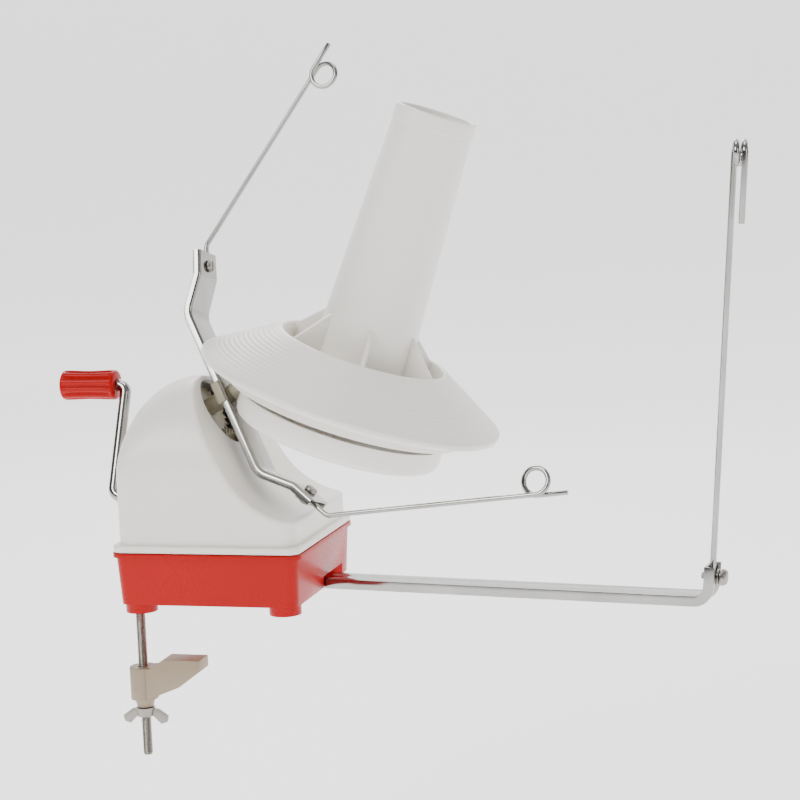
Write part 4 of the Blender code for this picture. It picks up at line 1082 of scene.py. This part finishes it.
@dataclass
class WindingCone:
    """White cone that the ball is wound on, and the pan below it."""

    shop: Workshop
    tube_top: float = 96 * MM
    top_radius: float = 19.8 * MM
    foot_radius: float = 24.6 * MM
    tube_wall: float = 2 * MM
    collar: float = 7.5 * MM
    flange_top: float = -26 * MM
    mouth: float = 42.8 * MM
    rim_height: float = -46.8 * MM
    rim_radius: float = 77.5 * MM
    rim_thickness: float = 3.5 * MM
    wall: float = 2.5 * MM
    well: float = 8 * MM
    ridges: int = 15
    ridge_height: float = 0.13 * MM
    ridge_steps: int = 8
    ridge_power: int = 3
    ridge_fade: tuple[float, float] = (6, 4)
    slope_low: tuple[float, float] = (-1.6 * MM, 1.0 * MM)
    slope_high: tuple[float, float] = (1.2 * MM, -0.3 * MM)
    rim_band: float = 4 * MM
    rim_drop: float = 0.4 * MM
    rim_inset: float = 0.1 * MM
    rim_low_round: float = 1.7 * MM
    rim_high_round: float = 1.8 * MM
    mouth_round: float = 1.1 * MM
    mouth_shift: float = 0.2 * MM
    mouth_depth: float = 3 * MM
    well_corner: float = 1 * MM
    tube_fillet: float = 1.5 * MM
    edge: float = 0.5 * MM
    lip: float = 0.45 * MM
    lip_rise: float = 0.35 * MM
    lip_drop: float = 1.2 * MM
    top_round: float = 1.0 * MM
    inner_round: float = 0.6 * MM
    gussets: int = 6
    gusset_turn: float = math.radians(46)
    gusset_height: float = 15 * MM
    gusset_width: float = 2 * MM
    gusset_sink: float = 0.4 * MM
    gusset_overlap: tuple[float, float, float] = (1 * MM, 0.8 * MM, 0.6 * MM)
    gusset_toe: tuple[float, float] = (0.8 * MM, 0.5 * MM)
    gusset_tip: tuple[float, float] = (1.6 * MM, 0.6 * MM)
    gusset_round: Rounding = Rounding(0.35 * MM, 2, 40)
    hub_radius: float = 8 * MM
    hub_bottom: float = -56 * MM
    bore: float = 4.3 * MM
    segments: int = 180
    sharp: float = 35
    roundings: dict[str, Rounding] = field(default_factory=lambda: {
        "pan": Rounding(0.5 * MM, 3, 50),
        "cone_ring_gear": Rounding(0.12 * MM, 1, 50),
    })

    def build(self) -> None:
        """Makes the cone, its gussets and the pan."""
        spindle = self.shop.layout.spindle
        cone = place(turned("cone_fine", self.profile(), self.segments), spindle)
        self.shop.hand_over(cone, "cone", ["cone"], self.sharp)
        grower = CircleGrower(self.gussets, self.gusset_turn)
        gussets = grower.grow(self.gusset(), self.shop.paint[Slot.WHITE])
        self.shop.hand_over(place(gussets, spindle), "cone", (), self.sharp)
        self.shop.refine(self.roundings)

    def tube_radius(self, height: float) -> float:
        """Outer radius of the tube at a height."""
        share = (self.tube_top - height) / (self.tube_top - self.flange_top)
        return self.top_radius + (self.foot_radius - self.top_radius) * share

    def flange_slope(self) -> list[tuple[float, float]]:
        """The ridged outside of the flange, from its rim up to its mouth.

        Returns:
            (radius, height) points.
        """
        low = (self.rim_radius + self.slope_low[0], self.rim_height + self.slope_low[1])
        high = (self.mouth + self.slope_high[0], self.flange_top + self.slope_high[1])
        steps = self.ridges * self.ridge_steps
        fade_in, fade_out = self.ridge_fade
        points = []
        for i in range(steps + 1):
            share = i / steps
            fade = min(1, share * fade_in, (1 - share) * fade_out)
            crest = abs(math.sin(math.pi * self.ridges * share)) ** self.ridge_power
            lift = -self.ridge_height * fade * crest
            points.append((low[0] + (high[0] - low[0]) * share,
                           low[1] + (high[1] - low[1]) * share + lift))
        return points

    def underside(self) -> list[tuple[float, float]]:
        """The hub and the hollow below the flange, from the bore out to the rim.

        Returns:
            (radius, height) points.
        """
        under = self.flange_top - self.well - self.wall
        skirt = self.rim_radius - self.rim_band
        rim_bottom = self.rim_height - self.rim_thickness
        return [(self.bore, self.hub_bottom), (self.hub_radius, self.hub_bottom),
                (self.hub_radius, under), (self.mouth - self.wall, under),
                (self.mouth - self.edge, self.flange_top - self.wall * 2),
                (skirt, self.rim_height - self.rim_drop), (skirt, rim_bottom + self.edge)]

    def rim(self) -> list[tuple[float, float]]:
        """The round edge of the flange.

        Returns:
            (radius, height) points.
        """
        low, high = self.rim_low_round, self.rim_high_round
        outside = self.rim_radius - self.rim_inset
        rim_bottom = self.rim_height - self.rim_thickness
        points = arc((outside - low, rim_bottom + low), low, 250, 350, 6)
        return points + arc((outside - high, self.rim_height - high / 2), high, 10, 75, 5)

    def well_side(self) -> list[tuple[float, float]]:
        """The flange's mouth and the well inside it, as far as the tube.

        Returns:
            (radius, height) points.
        """
        floor = self.flange_top - self.well
        foot = self.tube_radius(floor)
        inner = self.mouth - self.wall
        centre = (self.mouth - self.mouth_shift, self.flange_top - self.mouth_round)
        points = arc(centre, self.mouth_round, 60, 160, 5)
        return points + [(inner, self.flange_top - self.mouth_depth),
                         (inner, floor + self.well_corner), (inner - self.well_corner, floor),
                         (foot + self.tube_fillet, floor), (foot, floor + self.tube_fillet)]

    def tube(self) -> list[tuple[float, float]]:
        """The tube's outside, its collar and its bore.

        Returns:
            (radius, height) points.
        """
        floor = self.flange_top - self.well
        collar_foot = self.tube_top - self.collar
        radius = self.tube_radius(collar_foot)
        top, inner = self.top_round, self.inner_round
        points = [(radius, collar_foot), (radius + self.lip, collar_foot + self.lip_rise),
                  (self.top_radius + self.lip, self.tube_top - self.lip_drop)]
        points += arc((self.top_radius + self.lip - top, self.tube_top - top), top, 10, 90, 5)
        points += arc((self.top_radius - self.tube_wall + inner, self.tube_top - inner), inner, 90, 180, 4)
        return points + [(self.tube_radius(floor) - self.tube_wall, floor + self.edge),
                         (self.bore, floor + self.edge)]

    def profile(self) -> list[tuple[float, float]]:
        """The cone's closed outline, from its hub round the rim to the tube and back.

        Returns:
            (radius, height) points.
        """
        return self.underside() + self.rim() + self.flange_slope() + self.well_side() + self.tube()

    def gusset(self) -> bpy.types.Object:
        """One rib between the tube and the flange's mouth.

        Returns:
            The rib, standing along X.
        """
        well_floor = self.flange_top - self.well
        floor = well_floor - self.gusset_sink
        foot_overlap, top_overlap, mouth_overlap = self.gusset_overlap
        outer = self.mouth - self.wall + mouth_overlap
        top = self.flange_top + self.gusset_height
        inner = self.tube_radius(top) - top_overlap
        outline = [(self.tube_radius(well_floor) - foot_overlap, floor), (outer, floor),
                   (outer, self.flange_top - self.gusset_toe[1]),
                   (outer - self.gusset_toe[0], self.flange_top),
                   (inner + self.gusset_tip[0], top - self.gusset_tip[1]), (inner, top)]
        rib = side_prism("cone_gussets", outline, self.gusset_width / 2)
        rounding = self.gusset_round
        return soften(rib, rounding.width, rounding.segments, rounding.angle)


# ---------------------------------------------------------------- flyer


@dataclass
class Flyer:
    """Bent channel bar with two wires, its hub and gears."""

    shop: Workshop
    half_bar: float = 46.6 * MM
    bend: Vector = field(default_factory=lambda: Vector((61.5 * MM, 13.4 * MM)))
    end: Vector = field(default_factory=lambda: Vector((73.8 * MM, 18.6 * MM)))
    web: float = 20 * MM
    end_web: float = 18 * MM
    depth: float = 4.4 * MM
    sheet: float = 1.2 * MM
    bend_radius: float = 9 * MM
    bend_steps: int = 8
    edge_round: float = 0.9 * MM
    fold_share: float = 0.75
    fold_step: int = 15
    edge_tip: float = 0.35 * MM
    section_gap: float = 6 * MM
    block: float = 11.6 * MM
    gap: float = 0.3 * MM
    bar_hole: float = 4.6 * MM
    bar_hole_reach: float = 10 * MM
    screw_hole: float = 1.8 * MM
    screw_hole_reach: float = 4 * MM
    screw_place: float = 0.45
    wire_radius: float = 1.25 * MM
    wire_start: float = 3 * MM
    wire_bend: float = 5 * MM
    stub: dict[str, float] = field(default_factory=lambda: {"lower": 9.2 * MM, "upper": 4.7 * MM})
    splay: dict[str, float] = field(default_factory=lambda: {"lower": math.radians(23.8),
                                                             "upper": math.radians(27.4)})
    reach: dict[str, float] = field(default_factory=lambda: {"lower": 109 * MM, "upper": 107 * MM})
    tip: float = 15 * MM
    eye: float = 6.4 * MM
    eye_pitch: float = 3.1 * MM
    eye_steps: int = 48
    screw_radius: float = 1.5 * MM
    sharp: float = 35
    end_rounding: Rounding = Rounding(0.25 * MM)
    roundings: dict[str, Rounding] = field(default_factory=lambda: {
        "flyer_hub_block": Rounding(0.5 * MM),
        "flyer_sleeve": Rounding(0.2 * MM),
        "flyer_gear": Rounding(0.2 * MM),
        "cone_pinion": Rounding(0.15 * MM),
    })

    def build(self) -> None:
        """Makes the bar and wires, and refines the rest."""
        frame_at = self.shop.layout.flyer_bar
        self.shop.hand_over(place(self.bar(), frame_at), "flyer_bar", ["flyer_bar"], self.sharp)
        for side, sign in (("lower", 1), ("upper", -1)):
            node = f"flyer_wire_{side}"
            item = wire(node + "_fine", self.wire_path(side, sign), self.wire_radius,
                        self.shop.paint[Slot.CHROME], frame_at)
            self.shop.hand_over(item, node, [node])
            ends = (f"flyer_screw_{side}", f"flyer_clamp_plate_{side}")
            self.shop.refine({end: self.end_rounding for end in ends})
        self.shop.refine(self.roundings)

    def wire_path(self, side: str, sign: int) -> list[Vector]:
        """The wire from its clamp to its tip, with one closed eye.

        Args:
            side: lower or upper.
            sign: 1 for lower, -1 for upper.

        Returns:
            Points in the flyer's frame.
        """
        along = (self.end - self.bend).normalized()
        behind = Vector((along.y, -along.x))
        sunk = behind * (self.sheet + self.gap + self.wire_radius)
        aside = -(self.screw_radius + self.gap + self.wire_radius)
        start = self.bend + along * self.wire_start + sunk
        corner = self.end + along * self.stub[side] + sunk
        heading = Vector((math.sin(self.splay[side]), math.cos(self.splay[side])))
        inward = Vector((-heading.y, heading.x))
        touch = corner + heading * self.reach[side]
        centre = touch + inward * self.eye
        corners = [Vector((p.x, aside, p.y)) for p in (start, corner, touch)]
        path = rounded_path(corners, self.wire_bend)
        steps = self.eye_steps
        for i in range(1, steps + 1):
            angle = math.tau * i / steps
            spot = centre - inward * self.eye * math.cos(angle) + heading * self.eye * math.sin(angle)
            path.append(Vector((spot.x, aside + self.eye_pitch * i / steps, spot.y)))
        last = touch + heading * self.tip
        path.append(Vector((last.x, aside + self.eye_pitch, last.y)))
        return [Vector((p.x * sign, p.y * sign, p.z)) for p in path]

    def section(self, half: float) -> list[tuple[float, float]]:
        """Cross-section of the channel: (across, behind) points with round folds.

        Args:
            half: half of its width.

        Returns:
            A closed outline.
        """
        outer, inner = self.edge_round * 2, self.edge_round * 2 - self.sheet * self.fold_share
        depth, sheet, tip = self.depth, self.sheet, self.edge_tip
        folds = [math.radians(angle) for angle in range(0, 91, self.fold_step)]
        right = [(half - outer + outer * math.sin(a), outer - outer * math.cos(a)) for a in folds]
        right += [(half, depth - tip), (half - tip, depth), (half - sheet + tip, depth),
                  (half - sheet, depth - tip)]
        right += [(half - sheet - inner + inner * math.sin(a), sheet + inner - inner * math.cos(a))
                  for a in reversed(folds)]
        left = [(-x, y) for x, y in reversed(right)]
        return right + left

    def dense_path(self) -> list[Vector]:
        """The bar's bent path with a point at least at every section gap.

        Returns:
            Points in X and Z.
        """
        arm = [Vector((self.half_bar, 0)), self.bend, self.end]
        corners = [Vector((-p.x, p.y)) for p in reversed(arm)] + arm
        path = rounded_path(corners, self.bend_radius, self.bend_steps)
        dense = []
        for first, second in zip(path, path[1:]):
            count = max(1, int((second - first).length / self.section_gap))
            dense += [first.lerp(second, i / count) for i in range(count)]
        return dense + [path[-1]]

    def bar(self) -> bpy.types.Object:
        """The bent channel with its window for the hub block.

        Returns:
            The bar in the flyer's frame.
        """
        path = self.dense_path()
        rings = []
        for i, spot in enumerate(path):
            before = path[max(i - 1, 0)]
            after = path[min(i + 1, len(path) - 1)]
            heading = (after - before).normalized()
            behind = Vector((heading.y, -heading.x))
            share = max(0, (abs(spot.x) - self.half_bar) / (self.end.x - self.half_bar))
            half = (self.web + (self.end_web - self.web) * share) / 2
            rings.append([Vector((spot.x + behind.x * y, x, spot.y + behind.y * y))
                          for x, y in self.section(half)])
        bar = loft("flyer_bar_fine", rings)
        half_block = self.block / 2 + self.gap
        window = [(-half_block, -self.sheet), (half_block, -self.sheet),
                  (half_block, -2 * self.depth), (-half_block, -2 * self.depth)]
        combine(bar, side_prism("window", window, self.web), Way.CUT)
        hole = rod("bar_hole", self.bar_hole, -self.bar_hole_reach, self.bar_hole_reach, 64)
        combine(bar, hole, Way.CUT)
        along = (self.end - self.bend).normalized()
        seat = self.bend + along * (self.end - self.bend).length * self.screw_place
        for sign in (1, -1):
            turn = Matrix.Rotation(math.pi if sign < 0 else 0, 4, "Z")
            spot = turn @ Matrix.Translation((seat.x, 0, seat.y))
            hole = rod("screw_hole", self.screw_hole, -self.screw_hole_reach, self.screw_hole_reach, 32)
            place(hole, spot @ Matrix.Rotation(-math.atan2(along.y, along.x), 4, "Y"))
            combine(bar, hole, Way.CUT)
        return bar


# ---------------------------------------------------------------- crank


@dataclass
class Crank:
    """Bent crank rod with its fluted grip and gear."""

    shop: Workshop
    out: float = 66 * MM
    lean: float = 1.5 * MM
    arm: float = 60 * MM
    bend: float = 4.5 * MM
    rod_radius: float = 3 * MM
    grip_from: float = 69.6 * MM
    grip_length: float = 30.5 * MM
    grip_radius: float = 7.9 * MM
    flutes: int = 10
    flute_depth: float = 1.2 * MM
    flute_start: float = 1.2 * MM
    flute_run: float = 2 * MM
    flute_points: int = 10
    grip_steps: int = 44
    grip_waist: float = 0.05
    grip_round: float = 1.6 * MM
    grip_sharp: float = 50
    bore_gap: float = 0.3 * MM
    bore_start: float = -2 * MM
    bore_end: float = 3 * MM
    rod_start: float = 4 * MM
    rod_end: float = 5 * MM
    bend_steps: int = 12
    roundings: dict[str, Rounding] = field(default_factory=lambda: {
        "crank_gear": Rounding(0.2 * MM, 1),
        "crank_collar": Rounding(0.3 * MM),
        "crank_bush_outer": Rounding(0.3 * MM),
        "crank_bush_inner": Rounding(0.2 * MM),
    })

    def build(self) -> None:
        """Makes the rod and the grip, and refines the gear."""
        at = self.shop.layout.crank_arm
        corners = [Vector((self.rod_start, 0, 0)), Vector((-self.out, 0, 0)),
                   Vector((-self.out + self.lean, 0, self.arm)),
                   Vector((-self.grip_from - self.grip_length + self.rod_end, 0, self.arm))]
        path = rounded_path(corners, self.bend, self.bend_steps)
        bent = wire("crank_rod_fine", path, self.rod_radius, self.shop.paint[Slot.CHROME], at)
        self.shop.hand_over(bent, "crank_rod", ["crank_rod"])
        grip = place(self.grip(), at @ Matrix.Translation((-self.grip_from, 0, self.arm)))
        self.shop.hand_over(grip, "handle_grip", ["handle_grip"], self.grip_sharp)
        self.shop.refine(self.roundings)

    def grip(self) -> bpy.types.Object:
        """The fluted grip with a slight waist and rounded ends.

        Returns:
            The grip along -X from its inner face.
        """
        rings = []
        count = self.flutes * self.flute_points
        for i in range(self.grip_steps + 1):
            share = i / self.grip_steps
            end = min(share, 1 - share) * self.grip_length
            round_off = min(end / self.grip_round, 1)
            radius = self.grip_radius * (1 - self.grip_waist * math.sin(math.pi * share) ** 2)
            radius -= self.grip_round * (1 - math.sqrt(1 - (1 - round_off) ** 2))
            flute = self.flute_depth * min(max(end - self.flute_start, 0) / self.flute_run, 1)
            ring = []
            for j in range(count):
                angle = math.tau * j / count
                groove = (0.5 - 0.5 * math.cos(self.flutes * angle)) ** 2
                reach = radius - flute * groove
                ring.append(Vector((-self.grip_length * share, reach * math.cos(angle),
                                    reach * math.sin(angle))))
            rings.append(ring)
        item = loft("handle_grip_fine", rings)
        bore = rod("grip_bore", self.rod_radius + self.bore_gap, self.bore_start,
                   self.grip_length - self.bore_end, 48)
        combine(item, place(bore, Matrix.Rotation(-math.pi / 2, 4, "Y")), Way.CUT)
        return item


# ---------------------------------------------------------------- yarn guide


@dataclass
class YarnGuide:
    """Channel arm with an upright wire that ends in a double coil."""

    shop: Workshop
    lean: float = math.radians(4.1)
    wire_radius: float = 1.5 * MM
    wire_foot: float = 12 * MM
    wire_height: float = 217 * MM
    coil: float = 5 * MM
    coil_pitch: float = 3.9 * MM
    coil_turns: float = 1.5
    coil_steps: int = 40
    tail: float = 32 * MM
    roundings: dict[str, Rounding] = field(default_factory=lambda: {
        "guide_arm": Rounding(0.45 * MM, 3),
        "guide_screw": Rounding(0.4 * MM),
        "guide_washer": Rounding(0.2 * MM),
        "arm_pivot_screw": Rounding(0.3 * MM),
    })

    def build(self) -> None:
        """Makes the wire and refines the arm and its screws."""
        joint = self.shop.layout.joints["guide_wire_turn"]
        at = Matrix.Translation(joint["pos_m"])
        at = at @ Vector((0, 0, 1)).rotation_difference(Vector(joint["axis"])).to_matrix().to_4x4()
        item = wire("guide_wire_fine", self.path(), self.wire_radius, self.shop.paint[Slot.CHROME], at)
        self.shop.hand_over(item, "guide_wire", ["guide_wire"])
        self.shop.refine(self.roundings)

    def path(self) -> list[Vector]:
        """The upright, the coil and the tail.

        Returns:
            Points in the wire's frame.
        """
        height = (self.wire_height - self.wire_foot) / math.cos(self.lean)
        points = [Vector((0, 0, 0)), Vector((0, 0, height))]
        steps = round(self.coil_turns * self.coil_steps)
        for i in range(1, steps + 1):
            angle = math.tau * self.coil_turns * i / steps
            points.append(Vector((self.coil_pitch * angle / math.tau,
                                  self.coil * (math.cos(angle) - 1),
                                  height + self.coil * math.sin(angle))))
        points.append(points[-1] - Vector((0, 0, self.tail)))
        return points


# ---------------------------------------------------------------- clamp


@dataclass
class Clamp:
    """Threaded rod, jaw and wing nut below the base."""

    shop: Workshop
    rod_radius: float = 2.5 * MM
    pitch: float = 0.9 * MM
    thread: float = 0.42 * MM
    sharp: float = 60
    roundings: dict[str, Rounding] = field(default_factory=lambda: {
        "clamp_rod_nut": Rounding(0.3 * MM),
        "clamp_jaw": Rounding(0.8 * MM, 3),
        "wing_nut": Rounding(0.6 * MM, 3),
    })

    def build(self) -> None:
        """Makes the threaded rod and refines the rest."""
        low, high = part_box("clamp_rod")
        seed = path_object("clamp_rod_fine", [Vector((0, 0, 0)), Vector((0, 0, MM))])
        grower = ThreadGrower(self.rod_radius, self.thread, self.pitch, low.z, high.z)
        item = grower.grow(seed, self.shop.paint[Slot.STEEL])
        place(item, Matrix.Translation(self.shop.layout.clamp))
        self.shop.hand_over(item, "clamp_rod", ["clamp_rod"], self.sharp)
        self.shop.refine(self.roundings)


@dataclass
class Hardware:
    """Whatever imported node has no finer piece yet."""

    shop: Workshop
    rounding: Rounding = Rounding(0.2 * MM)

    def build(self) -> None:
        """Refines every node that is left."""
        left = sorted(set(frame["nodes"]) - self.shop.done)
        self.shop.refine({node: self.rounding for node in left})


# ---------------------------------------------------------------- studio


@dataclass(frozen=True)
class Lamp:
    """A square soft light: its size in metres, its power in watts."""

    name: str
    spot: tuple[float, float, float]
    size: float
    power: float


@dataclass
class Studio:
    """Pale sweep, soft lights and the camera."""

    turn: float = math.radians(15.22)
    elevation: float = math.radians(7.31)
    roll: float = math.radians(2.31)
    distance: float = 0.9945
    aim: Vector = field(default_factory=lambda: Vector((0.0904, 0, 0.1008)))
    lens: float = 90.1
    floor_height: float = -0.16
    floor_back: float = 2.5
    floor_bend: float = 1.5
    floor_edge: float = 8.0
    floor_far: float = 60.0
    floor_steps: int = 24
    floor_tone: tuple[float, float, float, float] = (0.95, 0.95, 0.95, 1)
    floor_gloss: float = 0.9
    glow: float = 1.15
    world_tones: tuple[tuple[float, float], ...] = ((0.05, 0.16), (0.7, 1.0))
    world_strength: float = 0.42
    sensor: float = 36
    lamps: tuple[Lamp, ...] = (
        Lamp("key", (-0.7, -1.2, 1.1), 0.7, 17),
        Lamp("fill", (1.3, -0.9, 0.6), 0.8, 4),
        Lamp("rim", (-0.3, 1.2, 1.0), 0.6, 8),
        Lamp("top", (0.1, 0.0, 1.6), 0.8, 9),
    )

    def build(self) -> None:
        """Makes the floor, the lights and the camera."""
        self.floor()
        self.world()
        for lamp in self.lamps:
            self.light(lamp)
        self.camera()

    def floor(self) -> None:
        """A pale sweep that curves up behind the winder, on a wide ground of the same tone."""
        made = bpy.data.materials.new("pale_floor")
        made.use_nodes = True
        shader = made.node_tree.nodes["Principled BSDF"]
        shader.inputs["Base Color"].default_value = self.floor_tone
        shader.inputs["Roughness"].default_value = self.floor_gloss
        shader.inputs["Emission Color"].default_value = (1, 1, 1, 1)
        shader.inputs["Emission Strength"].default_value = self.glow
        level, back, bend, edge = self.floor_height, self.floor_back, self.floor_bend, self.floor_edge
        outline = [(-edge, level)] + arc((back, level + bend), bend, 270, 360, self.floor_steps)
        outline.append((back + bend, edge))
        rows = [[(x, y, z) for y, z in outline] for x in (-edge, edge)]
        count = len(outline)
        faces = [(i, i + 1, count + i + 1, count + i) for i in range(count - 1)]
        far, below = self.floor_far, level - 1 * MM
        ground = [(-far, -far, below), (far, -far, below), (far, far, below), (-far, far, below)]
        faces.append(tuple(2 * count + i for i in range(len(ground))))
        mesh = bpy.data.meshes.new("floor")
        mesh.from_pydata(rows[0] + rows[1] + ground, [], faces)
        item = smooth(link("floor", mesh), 60)
        item.data.materials.append(made)

    def world(self) -> None:
        """Surroundings that are bright above and dim at the sides."""
        world = bpy.data.worlds.new("studio")
        world.use_nodes = True
        tree = NodeTree(world.node_tree)
        heading = tree.node("ShaderNodeTexCoord").outputs["Generated"]
        height = tree.node("ShaderNodeSeparateXYZ", heading).outputs[2]
        ramp = tree.node("ShaderNodeValToRGB", height)
        for element, (position, tone) in zip(ramp.color_ramp.elements, self.world_tones):
            element.position = position
            element.color = (tone, tone, tone, 1)
        back = world.node_tree.nodes["Background"]
        tree.fill(back.inputs[0], ramp.outputs[0])
        back.inputs[1].default_value = self.world_strength
        bpy.context.scene.world = world

    def light(self, lamp: Lamp) -> None:
        """Hangs a lamp, aimed at the winder.

        Args:
            lamp: the lamp.
        """
        data = bpy.data.lights.new(lamp.name, "AREA")
        data.size = lamp.size
        data.energy = lamp.power
        item = bpy.data.objects.new(lamp.name, data)
        bpy.context.scene.collection.objects.link(item)
        item.location = lamp.spot
        item.rotation_euler = (self.aim - Vector(lamp.spot)).to_track_quat("-Z", "Y").to_euler()

    def camera(self) -> None:
        """The camera in front of the winder, a little above it."""
        ahead = Vector((-math.sin(self.turn) * math.cos(self.elevation),
                        math.cos(self.turn) * math.cos(self.elevation), -math.sin(self.elevation)))
        right = Vector((math.cos(self.turn), math.sin(self.turn), 0))
        up = right.cross(ahead)
        across = math.cos(self.roll) * right - math.sin(self.roll) * up
        above = math.sin(self.roll) * right + math.cos(self.roll) * up
        matrix = Matrix((across, above, -ahead)).transposed().to_4x4()
        matrix.translation = self.aim - ahead * self.distance
        data = bpy.data.cameras.new("camera")
        data.lens = self.lens
        data.sensor_width = self.sensor
        item = bpy.data.objects.new("camera", data)
        bpy.context.scene.collection.objects.link(item)
        item.matrix_world = matrix
        bpy.context.scene.camera = item


def main() -> None:
    """Builds the winder and its studio."""
    logging.basicConfig(level=logging.INFO, format="%(name)s %(message)s")
    shop = Workshop()
    for part in (Housing(shop), WindingCone(shop), Flyer(shop), Crank(shop), YarnGuide(shop),
                 Clamp(shop), Hardware(shop)):
        log.info("building %s", type(part).__name__)
        part.build()
    Studio().build()


if __name__ == "__main__":
    main()
